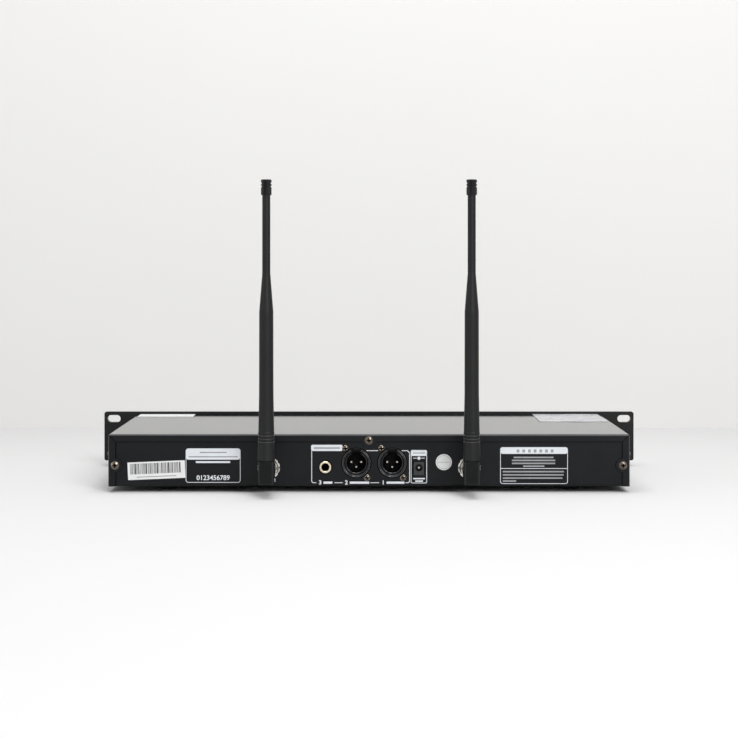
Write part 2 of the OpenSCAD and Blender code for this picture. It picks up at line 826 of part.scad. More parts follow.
// Antenna sockets: inner flange, thread through the wall, barrel with two bayonet lugs
module bnc_jacks() {
    edge = 0.4;
    color(nickel) seat() for (c = channels) difference() {
        union() {
            turned_y(socket_x[c], socket_z)
                polygon([[0, tail_end], [tail_r, tail_end], [tail_r, wall_in - socket_flange_t],
                    [socket_flange_r, wall_in - socket_flange_t], [socket_flange_r, wall_in],
                    [thread_r, wall_in], [thread_r, thread_end - edge], [thread_r - edge, thread_end],
                    [barrel_r, thread_end], [barrel_r, barrel_end - edge], [barrel_r - edge, barrel_end],
                    [0, barrel_end]]);
            bar_x(lug_y, socket_z, lug_r, socket_x[c] - lug_reach, socket_x[c] + lug_reach);
        }
        bar_y(socket_x[c], socket_z, bore_r, barrel_end - bore_d, barrel_end + over);
        bar_y(socket_x[c], socket_z, core_r + screw_fit, tail_end - over, barrel_end);
    }
}

module bnc_insulators() {
    color(white_plastic) seat() for (c = channels) difference() {
        bar_y(socket_x[c], socket_z, core_r, tail_end, barrel_end - bore_d + core_l);
        bar_y(socket_x[c], socket_z, contact_r + screw_fit, tail_end - over, barrel_end);
    }
}

module bnc_contacts() {
    socket_hole = 0.55 * contact_r;
    mouth = barrel_end - bore_d + core_l - small;
    color(brass) seat() for (c = channels) difference() {
        bar_y(socket_x[c], socket_z, contact_r, tail_end - contact_tail, mouth);
        bar_y(socket_x[c], socket_z, socket_hole, mouth - core_l, mouth + over);
    }
}

module bnc_nuts() {
    corner = nut_af / sqrt(3);
    ease = 0.7;
    color(nickel) seat() for (c = channels) difference() {
        intersection() {
            translate([socket_x[c], nut_y, socket_z]) rotate([-90, 0, 0])
                cylinder(r = corner, h = nut_t, $fn = 6);
            turned_y(socket_x[c], socket_z)
                polygon([[0, nut_y], [corner, nut_y], [corner, nut_y + nut_t - ease / 2],
                    [corner - ease, nut_y + nut_t], [0, nut_y + nut_t]]);
        }
        bar_y(socket_x[c], socket_z, thread_r + nut_gap, nut_y - over, nut_y + nut_t + over);
    }
}

module bnc_washers() {
    teeth = 12;
    tooth_r = 0.7;
    color(nickel) seat() for (c = channels) difference() {
        bar_y(socket_x[c], socket_z, washer_r, wall_y, nut_y);
        bar_y(socket_x[c], socket_z, thread_r + nut_gap, wall_y - over, nut_y + over);
        for (i = [1 : teeth]) translate([socket_x[c], 0, socket_z]) rotate([0, i * 360 / teeth, 0])
            bar_y(washer_r, 0, tooth_r, wall_y - over, nut_y + over);
    }
}

// Coupling ring: flange chamber at the back, two bayonet grooves that open at the front
module coupling_ring(c) {
    edge = 0.6;
    lug_w = lug_r + lug_gap;
    spread = 2 * asin((lug_w + small) / ring_in_r);
    color(nickel) seat() translate([socket_x[c], 0, socket_z]) rotate([-90, 0, 0]) difference() {
        rotate_extrude() polygon([[ring_in_r, ring_start], [ring_r - edge, ring_start],
            [ring_r, ring_start + edge], [ring_r, ring_end - edge], [ring_r - edge, ring_end],
            [neck_r + ring_gap, ring_end], [neck_r + ring_gap, plug_seat + ring_gap],
            [plug_flange_r + ring_gap, plug_seat + ring_gap],
            [plug_flange_r + ring_gap, ring_chamber], [ring_in_r, ring_chamber]]);
        for (turn = [0, 180]) rotate([0, 0, turn]) {
            rotate([0, 0, -ring_turn - spread / 2]) rotate_extrude(angle = ring_turn + spread)
                translate([0, lug_y - lug_w]) square([ring_groove_r, 2 * lug_w]);
            rotate([0, 0, -ring_turn]) translate([0, -lug_w, ring_start - over])
                cube([ring_groove_r, 2 * lug_w, lug_y - ring_start + over]);
        }
        for (i = [1 : ring_flutes]) rotate([0, 0, (i + 0.5) * 360 / ring_flutes])
            translate([ring_r + ring_flute_r / 2, 0, ring_start + 2 * edge])
                cylinder(r = ring_flute_r, h = ring_end - ring_start - 4 * edge);
    }
}

module antenna_plug(c) {
    sleeve = plug_y - plug_in_d;
    color(nickel) seat() turned_y(socket_x[c], socket_z)
        polygon([[plug_in_r, sleeve], [plug_out_r, sleeve], [plug_out_r, plug_y], [plug_flange_r, plug_y],
            [plug_flange_r, plug_seat], [neck_r, plug_seat], [neck_r, neck_end], [0, neck_end],
            [0, plug_y - plug_cap_t], [plug_in_r, plug_y - plug_cap_t]]);
}

// Hinge base of an antenna: round boss on the plug, block, and the tongue that carries the hinge pin
module antenna_knuckle(c) {
    color(black_rubber) seat() difference() {
        union() {
            bar_y(socket_x[c], socket_z, knuckle_boss_r, knuckle_y, web_y);
            along_y((knuckle_y + web_y) / 2, web_y) translate([socket_x[c], socket_z])
                rounded_rect(knuckle_w, knuckle_w, block_round);
            bar_x(pin_y, socket_z, tongue_r, socket_x[c] - tongue_t / 2, socket_x[c] + tongue_t / 2);
            translate([socket_x[c] - tongue_t / 2, web_y - over, socket_z - tongue_r])
                cube([tongue_t, pin_y - web_y + over, 2 * tongue_r]);
        }
        bar_y(socket_x[c], socket_z, neck_r + screw_fit, knuckle_y - over, neck_end + screw_fit);
        bar_x(pin_y, socket_z, hinge_r + run_fit, socket_x[c] - tongue_t, socket_x[c] + tongue_t);
    }
}

// Hinge fork at the whip's foot, closed at the back, open to the front and below for the tongue
module antenna_fork(c) {
    half = knuckle_w / 2;
    head_depth = pin_head_t + over;
    color(black_rubber) seat() translate([socket_x[c], pin_y, socket_z]) difference() {
        union() {
            intersection() {
                translate([0, 0, -cheek_r - over]) linear_extrude(cheek_r + fork_top + over)
                    rounded_rect(knuckle_w, fork_d, fork_round);
                along_x(-knuckle_w, knuckle_w) fork_side();
            }
            cylinder(r = spigot_r, h = spigot_top);
        }
        along_x(-slot_half, slot_half) fork_pocket();
        bar_x(0, 0, hinge_r + screw_fit, -half - over, half + over);
        for (s = sides) bar_x(0, 0, pin_head_r + pin_head_gap,
            s * (half - pin_head_t + head_depth / 2) - head_depth / 2,
            s * (half - pin_head_t + head_depth / 2) + head_depth / 2);
    }
}

// Side view of the fork: straight at the back, rounded about the pin at the front of its foot
module fork_side() {
    half = fork_d / 2;
    translate([-fork_d, 0]) square([2 * fork_d, fork_top + over]);
    intersection() {
        circle(r = cheek_r);
        translate([-fork_d, -cheek_r]) square([fork_d, cheek_r + over]);
    }
    translate([0, fork_edge - cheek_r]) square([half, cheek_r]);
    translate([0, -cheek_r]) square([half - fork_edge, cheek_r]);
    translate([half - fork_edge, fork_edge - cheek_r]) circle(r = fork_edge);
}

// Room for the tongue while the fork turns from upright to straight out
module fork_pocket() {
    reach = tongue_r + tongue_gap;
    far = cheek_r + over;
    circle(r = reach);
    translate([-far, -far]) square([far, far + reach]);
    translate([-far, -far]) square([far + reach, far]);
}

module hinge_pin(c) {
    half = knuckle_w / 2;
    color(steel) seat() difference() {
        union() {
            bar_x(pin_y, socket_z, hinge_r, socket_x[c] - half, socket_x[c] + half);
            for (s = sides) bar_x(pin_y, socket_z, pin_head_r,
                socket_x[c] + s * (half - pin_head_t / 2) - pin_head_t / 2,
                socket_x[c] + s * (half - pin_head_t / 2) + pin_head_t / 2);
        }
        for (s = sides) translate([socket_x[c] + s * half, pin_y, socket_z])
            cube([pin_head_t, recess_w, 1.4 * pin_head_r], center = true);
    }
}

// Whip on the fork's spigot, turned about the vertical through the hinge pin
module antenna_whip(c) {
    color(black_rubber) seat() translate([socket_x[c], pin_y, socket_z]) rotate_extrude() whip_outline();
}

module whip_outline() {
    edge = 0.5;
    rib = collar_up_r - 0.2;
    bore = spigot_r + cap_fit;
    polygon([[bore, fork_top], [collar_r - edge, fork_top], [collar_r, fork_top + edge],
        [collar_up_r, rib_z - rib_w], [collar_up_r, rib_z],
        [rib - rib_d, rib_z], [rib - rib_d, rib_z + rib_w], [rib, rib_z + rib_w], [rib, rib_z + rib_pitch],
        [rib - rib_d, rib_z + rib_pitch], [rib - rib_d, rib_z + rib_pitch + rib_w],
        [rib, rib_z + rib_pitch + rib_w], [rib, rib_z + 2 * rib_pitch],
        [rib - rib_d, rib_z + 2 * rib_pitch], [rib - rib_d, rib_z + 2 * rib_pitch + rib_w],
        [rib, rib_z + 2 * rib_pitch + rib_w], [rib, rib_top - edge], [whip_low_r, rib_top],
        [whip_low_r, rib_top + 3], [whip_mid_r + 0.1, taper_z], [whip_mid_r, cone_z],
        [whip_top_r, cone_z + cone_h], [whip_top_r, whip_end], [0, whip_end],
        [0, spigot_top + cap_fit], [bore, spigot_top + cap_fit]]);
}

module antenna_cap(c) {
    edge = 0.5;
    top = cap_z + cap_l;
    inner = whip_top_r + cap_fit;
    low = cap_r - cap_groove;
    color(black_rubber) seat() translate([socket_x[c], pin_y, socket_z]) rotate_extrude()
        polygon([[inner, cap_z], [cap_r - edge, cap_z], [cap_r, cap_z + edge], [cap_r, cap_z + 0.5 * cap_l],
            [low, cap_z + 0.5 * cap_l], [low, cap_z + 0.6 * cap_l], [cap_r, cap_z + 0.6 * cap_l],
            [cap_r, cap_z + 0.7 * cap_l], [low, cap_z + 0.7 * cap_l], [low, cap_z + 0.81 * cap_l],
            [cap_r, cap_z + 0.81 * cap_l], [cap_r, top - edge], [cap_r - edge, top], [0, top],
            [0, whip_end + cap_fit], [inner, whip_end + cap_fit]]);
}

module power_button() {
    edge = 0.5;
    y0 = front_y - power_proud;
    color(black_plastic) seat() {
        turned_y(power_x, panel_cz)
            polygon([[0, y0 + 0.4], [power_r - 1.4, y0 + 0.4], [power_r - 1, y0], [power_r - edge, y0],
                [power_r, y0 + edge], [power_r, power_cap_y], [power_stem_r, power_cap_y],
                [power_stem_r, power_switch_y + power_stem_in], [0, power_switch_y + power_stem_in]]);
    }
}

module power_switch() {
    half = power_switch_w / 2;
    color(black_plastic) seat() difference() {
        translate([power_x - half, power_switch_y, panel_cz - half])
            cube([power_switch_w, power_switch_l, power_switch_w]);
        bar_y(power_x, panel_cz, power_stem_r + run_fit, power_switch_y - over,
            power_switch_y + power_bore_d);
    }
}

module display_lenses() {
    color(smoke) seat() for (c = channels) along_y(front_y, front_y + lens_t)
        translate([group_x[c], panel_cz]) rounded_rect(lens_w, lens_h, panel_r);
}

module lcd_modules() {
    color(smoke) seat() for (c = channels) {
        along_y(front_y + lens_t + small, lcd_y + small) translate([group_x[c], panel_cz])
            square([window_w - 2 * lcd_gap, window_h - 2 * lcd_gap], center = true);
        along_y(lcd_y, board_front) translate([group_x[c], panel_cz]) square([lcd_w, lcd_h], center = true);
    }
}

// Knob: fluted grip on a plain skirt, recessed behind for the bushing, with a pointer groove in its face
module volume_knob(c) {
    edge = 1;
    y1 = front_y - knob_gap;
    y0 = y1 - knob_l;
    grip_y = y1 - 3 * edge;
    grip_r = knob_r - edge / 2;
    face_r = grip_r - flute_r - small;
    color(black_plastic) seat() difference() {
        union() {
            turned_y(knob_x[c], panel_cz) polygon([[0, y0], [face_r - edge, y0], [face_r, y0 + edge],
                [face_r, grip_y], [0, grip_y]]);
            along_y(y0 + edge, grip_y) translate([knob_x[c], panel_cz])
                fluted_disc(grip_r, flute_count, flute_r);
            turned_y(knob_x[c], panel_cz) polygon([[0, grip_y], [grip_r, grip_y],
                [knob_r, grip_y + edge], [knob_r, y1], [0, y1]]);
        }
        bar_y(knob_x[c], panel_cz, knob_recess_r, y1 - knob_recess_d, y1 + over);
        bar_y(knob_x[c], panel_cz, shaft_r + cap_fit, front_y - knob_floor, y1);
        translate([knob_x[c] - pointer_w / 2, y0 - over, panel_cz + knob_r * 0.25])
            cube([pointer_w, pointer_d + over, knob_r]);
    }
}

module fluted_disc(r, count, groove_r) {
    difference() {
        circle(r = r);
        for (i = [1 : count]) rotate((i + 0.5) * 360 / count) translate([r, 0]) circle(r = groove_r);
    }
}

module pot_shaft(c) {
    tip = front_y - knob_gap - shaft_out;
    color(nickel) seat() bar_y(knob_x[c], panel_cz, shaft_r, tip, panel_y + sheet + pot_floor);
}

module volume_pots() {
    color(steel) seat() for (c = channels) difference() {
        union() {
            translate([knob_x[c] - pot_w / 2, panel_y + sheet, panel_cz - pot_w / 2])
                cube([pot_w, board_front - panel_y - sheet, pot_w]);
            bar_y(knob_x[c], panel_cz, pot_bush_r, front_y - pot_bush_proud, panel_y + sheet + over);
        }
        bar_y(knob_x[c], panel_cz, shaft_r + run_fit, front_y - pot_bush_proud - over,
            panel_y + sheet + pot_floor + small);
    }
}

module small_button(c, row) {
    z = panel_cz + row * button_dz;
    flange_y = panel_y + button_rest;
    color(black_plastic) seat() {
        along_y(front_y - button_proud, flange_y) translate([button_x[c], z])
            rounded_rect(button_w, button_h, button_r);
        along_y(flange_y, flange_y + button_flange_t) translate([button_x[c], z])
            rounded_rect(button_w + 2 * button_flange, button_h + 2 * button_flange, button_r);
        bar_y(button_x[c], z, stem_r, flange_y, switch_y + stem_in);
    }
}

module tact_switches() {
    color(black_plastic) seat() for (c = channels) for (row = button_rows) difference() {
        translate([button_x[c] - switch_w / 2, switch_y, panel_cz + row * button_dz - switch_w / 2])
            cube([switch_w, switch_t, switch_w]);
        bar_y(button_x[c], panel_cz + row * button_dz, stem_r + run_fit, switch_y - over,
            switch_y + switch_bore_d);
    }
}

module display_board() {
    x0 = knob_x[0] - pot_w;
    x1 = button_x[1] + switch_w + 3;
    color(board_green) seat() translate([x0, board_front, display_low])
        cube([x1 - x0, board_t, display_high - display_low]);
}

module main_board() {
    color(board_green) seat() difference() {
        translate([0, 0, board_low]) linear_extrude(board_t) {
            translate([-board_hx, board_end]) square([2 * board_hx, board_rear - board_end]);
            for (x = [mix_x, dc_x]) translate([x - board_tab_half + (x > 0 ? 2 : -2), board_rear - over])
                square([2 * board_tab_half, board_tab_y - board_rear + over]);
        }
        for (x = standoff_x) for (y = standoff_y)
            translate([x, y, board_low - over]) cylinder(r = hole_r, h = board_t + 2 * over);
    }
}

// Shielding cans: thin sheet boxes, open towards the board
module rf_shields() {
    color(nickel) seat() for (c = channels) translate([socket_x[c] - can_w / 2, can_y - can_l, board_top])
        difference() {
            cube([can_w, can_l, can_h]);
            translate([can_t, can_t, -can_t]) cube([can_w - 2 * can_t, can_l - 2 * can_t, can_h]);
        }
}

// Coaxial lead from an antenna socket's tail, straight in, then bent down to the board
module coax_pigtails() {
    start = tail_end - contact_tail - small;
    color(black_plastic) seat() for (c = channels) translate([socket_x[c], 0, 0]) {
        bar_y(0, socket_z, coax_r, coax_run, start);
        translate([0, coax_run, socket_z - coax_bend]) rotate([90, 0, -90]) rotate_extrude(angle = 90)
            translate([coax_bend, 0]) circle(r = coax_r);
        translate([0, coax_run - coax_bend, board_top])
            cylinder(r = coax_r, h = socket_z - coax_bend - board_top);
    }
}

module ribbon_cable() {
    y0 = board_front + board_t;
    rise = ribbon_z - board_top - ribbon_bend;
    color(white_plastic) seat() along_x(-ribbon_w / 2, ribbon_w / 2) {
        translate([y0, ribbon_z]) square([ribbon_end - y0, ribbon_t]);
        translate([ribbon_end, ribbon_z - ribbon_bend]) intersection() {
            difference() {
                circle(r = ribbon_bend + ribbon_t);
                circle(r = ribbon_bend);
            }
            square([2 * ribbon_bend, 2 * ribbon_bend]);
        }
        translate([ribbon_end + ribbon_bend, board_top]) square([ribbon_t, rise]);
    }
}

module board_standoffs() {
    color(brass) seat() for (x = standoff_x) for (y = standoff_y) difference() {
        translate([x, y, z_bot + sheet]) cylinder(r = standoff_r, h = board_low - z_bot - sheet, $fn = 6);
        translate([x, y, z_bot + sheet + over]) cylinder(r = thread_hole_r, h = board_low - z_bot);
    }
}

module board_screws() {
    color(steel) seat() for (x = standoff_x) for (y = standoff_y)
        translate([x, y, board_top]) screw(board_screw_l);
}

module capacitors() {
    color(black_plastic) seat() for (x = cap_can_x)
        translate([x, cap_can_y, board_top]) cylinder(r = cap_can_r, h = cap_can_h);
}

chassis_tray();
top_cover();
front_panel();
rubber_feet();
foot_screws();
cover_rear_screws();
cover_side_screws();
front_panel_screws();
xlr_shell(0);  // xlr_shell_a
xlr_shell(1);  // xlr_shell_b
xlr_inserts();
xlr_pins();
xlr_screws();
mix_jack_body();
mix_jack_bush();
dc_jack_body();
dc_jack_pin();
bnc_jacks();
bnc_insulators();
bnc_contacts();
bnc_nuts();
bnc_washers();
coupling_ring(0);  // coupling_ring_a
coupling_ring(1);  // coupling_ring_b
antenna_plug(0);  // antenna_plug_a
antenna_plug(1);  // antenna_plug_b
antenna_knuckle(0);  // antenna_knuckle_a
antenna_knuckle(1);  // antenna_knuckle_b
hinge_pin(0);  // hinge_pin_a
hinge_pin(1);  // hinge_pin_b
antenna_fork(0);  // antenna_fork_a
antenna_fork(1);  // antenna_fork_b
antenna_whip(0);  // antenna_whip_a
antenna_whip(1);  // antenna_whip_b
antenna_cap(0);  // antenna_cap_a
antenna_cap(1);  // antenna_cap_b
power_button();
power_switch();
display_lenses();
lcd_modules();
volume_knob(0);  // volume_knob_a
volume_knob(1);  // volume_knob_b
pot_shaft(0);  // pot_shaft_a
pot_shaft(1);  // pot_shaft_b
volume_pots();
small_button(0, 1);  // set_button_a
small_button(0, 0);  // up_button_a
small_button(0, -1);  // down_button_a
small_button(1, 1);  // set_button_b
small_button(1, 0);  // up_button_b
small_button(1, -1);  // down_button_b
tact_switches();
display_board();
main_board();
rf_shields();
coax_pigtails();
ribbon_cable();
board_standoffs();
board_screws();
capacitors();
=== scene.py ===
import json
import math

import bpy
from mathutils import Matrix, Vector


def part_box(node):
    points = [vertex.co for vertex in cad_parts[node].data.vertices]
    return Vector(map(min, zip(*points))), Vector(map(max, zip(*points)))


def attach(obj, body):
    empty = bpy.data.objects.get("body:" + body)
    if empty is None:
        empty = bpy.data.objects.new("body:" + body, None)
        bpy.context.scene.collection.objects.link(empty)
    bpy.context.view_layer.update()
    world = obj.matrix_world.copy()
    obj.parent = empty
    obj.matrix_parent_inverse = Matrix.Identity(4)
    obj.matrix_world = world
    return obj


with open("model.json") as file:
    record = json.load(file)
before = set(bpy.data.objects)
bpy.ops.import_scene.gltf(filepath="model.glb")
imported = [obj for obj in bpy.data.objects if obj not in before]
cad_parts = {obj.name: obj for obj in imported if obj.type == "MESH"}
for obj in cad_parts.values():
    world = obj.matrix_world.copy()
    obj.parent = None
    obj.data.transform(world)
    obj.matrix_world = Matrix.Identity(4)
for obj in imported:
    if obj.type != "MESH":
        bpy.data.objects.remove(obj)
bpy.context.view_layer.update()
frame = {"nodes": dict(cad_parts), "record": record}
nodes = frame["nodes"]

MM = 0.001
scene = bpy.context.scene
scene.view_settings.view_transform = "Standard"

# Faces of the case that carry prints and stickers, from the CAD nodes' own boxes
tray_low, tray_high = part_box("chassis_tray")
cover_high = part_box("top_cover")[1]
panel_low, panel_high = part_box("front_panel")
REAR_Y = tray_high.y
REAR_FACE_Y = cover_high.y
BOTTOM_Z = tray_low.z
TOP_Z = cover_high.z
FRONT_Y = panel_low.y
PANEL_MID_Z = (panel_low.z + panel_high.z) / 2

# Thicknesses in millimetres: ink on the case, ink on other ink, paper, and the sheet of painted shadow along
# a seam
INK = 0.06
OVERPRINT = 0.03
PAPER = 0.12
SHADOW_THICK = 0.03


# Materials

class Graph:
    """A node material: a Principled shader and short calls for what feeds it."""

    def __init__(self, name):
        self.mat = bpy.data.materials.new(name)
        self.mat.use_nodes = True
        self.nodes = self.mat.node_tree.nodes
        self.links = self.mat.node_tree.links
        self.bsdf = self.nodes["Principled BSDF"]
        self.coord = self.nodes.new("ShaderNodeTexCoord")

    def set(self, **values):
        for key, value in values.items():
            self.bsdf.inputs[key.replace("_", " ")].default_value = value

    def feed(self, socket, output):
        self.links.new(output, self.bsdf.inputs[socket])

    def stretched(self, scale):
        """Object coordinates with a scale for each axis, which draws a noise out into lines."""
        node = self.nodes.new("ShaderNodeMapping")
        node.inputs["Scale"].default_value = scale
        self.links.new(self.coord.outputs["Object"], node.inputs["Vector"])
        return node.outputs["Vector"]

    def noise(self, scale, detail=3.0, roughness=0.55, vector=None):
        node = self.nodes.new("ShaderNodeTexNoise")
        node.inputs["Scale"].default_value = scale
        node.inputs["Detail"].default_value = detail
        node.inputs["Roughness"].default_value = roughness
        self.links.new(vector or self.coord.outputs["Object"], node.inputs["Vector"])
        return node.outputs["Fac"]

    def spread(self, value, low, high, start=0.3, end=0.7):
        """Low where the value is at start, high where it is at end."""
        node = self.nodes.new("ShaderNodeMapRange")
        node.inputs["From Min"].default_value = start
        node.inputs["From Max"].default_value = end
        node.inputs["To Min"].default_value = low
        node.inputs["To Max"].default_value = high
        self.links.new(value, node.inputs["Value"])
        return node.outputs["Result"]

    def tones(self, value, dark, light, start=0.3, end=0.7):
        """A colour that goes from dark to light as the value goes from start to end."""
        node = self.nodes.new("ShaderNodeValToRGB")
        stops = ((start, dark), (end, light))
        for element, (place, colour) in zip(node.color_ramp.elements, stops):
            element.position = place
            element.color = (*colour, 1.0)
        self.links.new(value, node.inputs["Fac"])
        return node.outputs["Color"]

    def bump(self, height, strength, distance, below=None):
        node = self.nodes.new("ShaderNodeBump")
        node.inputs["Strength"].default_value = strength
        node.inputs["Distance"].default_value = distance
        self.links.new(height, node.inputs["Height"])
        if below:
            self.links.new(below, node.inputs["Normal"])
        return node.outputs["Normal"]

    def sheen(self, plain, grazing, start=0.55):
        """A value that changes towards a low viewing angle, as the gloss of sprayed paint does."""
        weight = self.nodes.new("ShaderNodeLayerWeight")
        weight.inputs["Blend"].default_value = 0.5
        mix = self.nodes.new("ShaderNodeMix")
        mix.data_type = "FLOAT"
        mix.inputs["B"].default_value = grazing
        self.links.new(self.spread(weight.outputs["Facing"], 0.0, 1.0, start, 0.90), mix.inputs["Factor"])
        self.links.new(plain, mix.inputs["A"])
        return mix.outputs["Result"]

    def math(self, operation, first, second=None):
        node = self.nodes.new("ShaderNodeMath")
        node.operation = operation
        self.links.new(first, node.inputs[0])
        if second:
            self.links.new(second, node.inputs[1])
        return node.outputs["Value"]

    def folds(self, start, end, low=0.0):
        """A mask for painted highlights on the faces turned away from the three axes, such as bends and
        bevels.

        low is its share where they face down, so the painted highlight is weaker there, as less light falls
        on them.
        """
        parts = self.nodes.new("ShaderNodeSeparateXYZ")
        self.links.new(self.coord.outputs["Normal"], parts.inputs["Vector"])
        x, y, z = (self.math("ABSOLUTE", parts.outputs[axis]) for axis in "XYZ")
        widest = self.math("MAXIMUM", self.math("MAXIMUM", x, y), z)
        bent = self.spread(widest, 0.0, 1.0, start, end)
        return self.math("MULTIPLY", bent, self.spread(parts.outputs["Z"], low, 1.0, -0.2, 0.4))

    def blend(self, factor, first, second):
        node = self.nodes.new("ShaderNodeMix")
        node.data_type = "RGBA"
        self.links.new(factor, node.inputs["Factor"])
        colours = [socket for socket in node.inputs if socket.type == "RGBA"]
        self.links.new(first, colours[0])
        self.links.new(second, colours[1])
        return [socket for socket in node.outputs if socket.type == "RGBA"][0]


PLAIN_GLOSS = 0.5
GRAIN_DEPTH = 0.00008


def grained(name, dark, light, rough, grain, strength, tone=25.0, gloss=PLAIN_GLOSS):
    """Paint, rubber or moulded plastic: two close tones, uneven gloss and a fine grain."""
    look = Graph(name)
    look.set(Specular_IOR_Level=gloss)
    look.feed("Base Color", look.tones(look.noise(tone, 4.0), dark, light))
    look.feed("Roughness", look.spread(look.noise(tone * 3.0, 5.0), *rough))
    look.feed("Normal", look.bump(look.noise(grain, 2.0), strength, GRAIN_DEPTH))
    return look.mat


def plated(name, dark, light, rough, scale, lines):
    """Plated metal with fine machining lines and slight tarnish."""
    look = Graph(name)
    look.set(Metallic=1.0)
    streak = look.noise(scale, 4.0, 0.6, look.stretched(lines))
    look.feed("Base Color", look.tones(look.noise(180.0, 4.0), dark, light))
    look.feed("Roughness", look.spread(streak, *rough))
    look.feed("Normal", look.bump(streak, 0.12, 0.00004))
    return look.mat


def case_paint():
    """Satin black powder coat: fine orange peel, uneven gloss, and a painted highlight, a paler tone on the
    bends and bevels.
    """
    look = Graph("case_paint")
    uneven = look.noise(45.0, 5.0)
    look.feed("Specular IOR Level", look.sheen(look.spread(uneven, 0.19, 0.21), 0.85, 0.82))
    look.feed("Roughness", look.sheen(look.spread(uneven, 0.32, 0.38), 0.10))
    coat = look.tones(look.noise(12.0, 5.0), (0.0036, 0.0042, 0.0053), (0.0050, 0.0056, 0.0068))
    # Painted highlight: a paler tone where the bends catch the light
    painted_highlight = look.tones(look.noise(30.0, 5.0), (0.065, 0.067, 0.072), (0.110, 0.112, 0.118))
    look.feed("Base Color", look.blend(look.folds(0.96, 0.84), coat, painted_highlight))
    peel = look.bump(look.noise(420.0, 2.0), 0.02, 0.00003)
    look.feed("Normal", look.bump(look.noise(1500.0, 2.0), 0.03, 0.00002, peel))
    return look.mat


def panel_finish():
    """Black anodised aluminium with a faint brushed grain along the panel."""
    look = Graph("panel_finish")
    look.set(Specular_IOR_Level=0.25)
    streak = look.noise(600.0, 4.0, 0.6, look.stretched((0.02, 1.0, 1.0)))
    look.feed("Base Color", look.tones(streak, (0.0046, 0.0049, 0.0056), (0.0074, 0.0078, 0.0086)))
    look.feed("Roughness", look.spread(streak, 0.32, 0.46))
    look.feed("Normal", look.bump(streak, 0.10, 0.00003))
    return look.mat


def antenna_sleeve():
    """Matt black moulded sleeve with a very fine vertical drag."""
    look = Graph("antenna_sleeve")
    look.set(Specular_IOR_Level=0.22)
    sleeve = look.tones(look.noise(30.0, 4.0), (0.0098, 0.0102, 0.0101), (0.0132, 0.0136, 0.0135))
    look.feed("Base Color", sleeve)
    drag = look.noise(500.0, 3.0, 0.5, look.stretched((1.0, 1.0, 0.08)))
    look.feed("Roughness", look.spread(drag, 0.40, 0.50))
    dragged = look.bump(drag, 0.05, 0.00004)
    look.feed("Normal", look.bump(look.noise(1400.0, 2.0), 0.10, 0.00005, dragged))
    return look.mat


def antenna_plastic():
    """Black moulded plastic, with a painted highlight: a paler tone on its rounded edges."""
    look = Graph("antenna_plastic")
    look.set(Specular_IOR_Level=0.14)
    plain = look.tones(look.noise(25.0, 4.0), (0.0050, 0.0053, 0.0056), (0.0070, 0.0073, 0.0076))
    # Painted highlight: a paler tone on the rounded edges
    painted_highlight = look.tones(look.noise(60.0, 4.0), (0.020, 0.021, 0.022), (0.032, 0.033, 0.034))
    look.feed("Base Color", look.blend(look.folds(0.97, 0.80, 1.0), plain, painted_highlight))
    look.feed("Roughness", look.spread(look.noise(75.0, 5.0), 0.34, 0.44))
    look.feed("Normal", look.bump(look.noise(1300.0, 2.0), 0.10, 0.00005))
    return look.mat


def smoked_lens():
    """Clear grey acrylic in front of the displays."""
    look = Graph("smoked_lens")
    look.set(Transmission_Weight=0.95, IOR=1.49, Roughness=0.0)
    look.feed("Base Color", look.tones(look.noise(20.0), (0.20, 0.21, 0.22), (0.22, 0.23, 0.24)))
    return look.mat


def lcd_mark():
    """Pale lit display segments."""
    look = Graph("lcd_mark")
    look.set(Roughness=0.5, Emission_Color=(0.55, 0.85, 0.92, 1.0), Emission_Strength=1.2)
    look.feed("Base Color", look.tones(look.noise(300.0), (0.42, 0.62, 0.66), (0.50, 0.70, 0.74)))
    return look.mat


def circuit_board():
    """Green solder mask over faint copper tracks."""
    look = Graph("circuit_board")
    tracks = look.nodes.new("ShaderNodeTexBrick")
    tracks.inputs["Scale"].default_value = 120.0
    tracks.inputs["Color1"].default_value = (0.012, 0.085, 0.035, 1)
    tracks.inputs["Color2"].default_value = (0.014, 0.095, 0.040, 1)
    tracks.inputs["Mortar"].default_value = (0.022, 0.140, 0.060, 1)
    tracks.inputs["Mortar Size"].default_value = 0.03
    look.links.new(look.coord.outputs["Object"], tracks.inputs["Vector"])
    look.feed("Base Color", tracks.outputs["Color"])
    look.feed("Roughness", look.spread(look.noise(80.0), 0.30, 0.40))
    look.feed("Normal", look.bump(tracks.outputs["Fac"], 0.1, 0.00003))
    return look.mat


def ribbon():
    """Grey flat cable: a ridge for each conductor."""
    look = Graph("ribbon")
    wave = look.nodes.new("ShaderNodeTexWave")
    wave.bands_direction = "X"
    wave.inputs["Scale"].default_value = 250.0
    look.links.new(look.coord.outputs["Object"], wave.inputs["Vector"])
    ridge = wave.outputs["Fac"]
    look.feed("Base Color", look.tones(ridge, (0.34, 0.34, 0.33), (0.48, 0.48, 0.47), 0.2, 0.8))
    look.feed("Roughness", look.spread(look.noise(100.0), 0.45, 0.55))
    look.feed("Normal", look.bump(ridge, 0.4, 0.0002))
    return look.mat


def paper():
    """White sticker paper, slightly uneven."""
    look = Graph("paper")
    look.set(Specular_IOR_Level=0.4)
    look.feed("Base Color", look.tones(look.noise(120.0, 5.0), (0.86, 0.86, 0.86), (0.92, 0.92, 0.92)))
    look.feed("Roughness", look.spread(look.noise(200.0, 4.0), 0.38, 0.50))
    look.feed("Normal", look.bump(look.noise(90.0, 3.0), 0.06, 0.0001))
    return look.mat


def clear_film():
    """Thin protective film, wrinkled, slightly milky."""
    look = Graph("clear_film")
    look.set(Specular_IOR_Level=0.45, Alpha=0.62)
    look.feed("Base Color", look.tones(look.noise(60.0, 4.0), (0.74, 0.75, 0.78), (0.90, 0.90, 0.92)))
    look.feed("Roughness", look.spread(look.noise(90.0, 4.0), 0.22, 0.38))
    look.feed("Normal", look.bump(look.noise(70.0, 3.0), 0.35, 0.0006))
    return look.mat


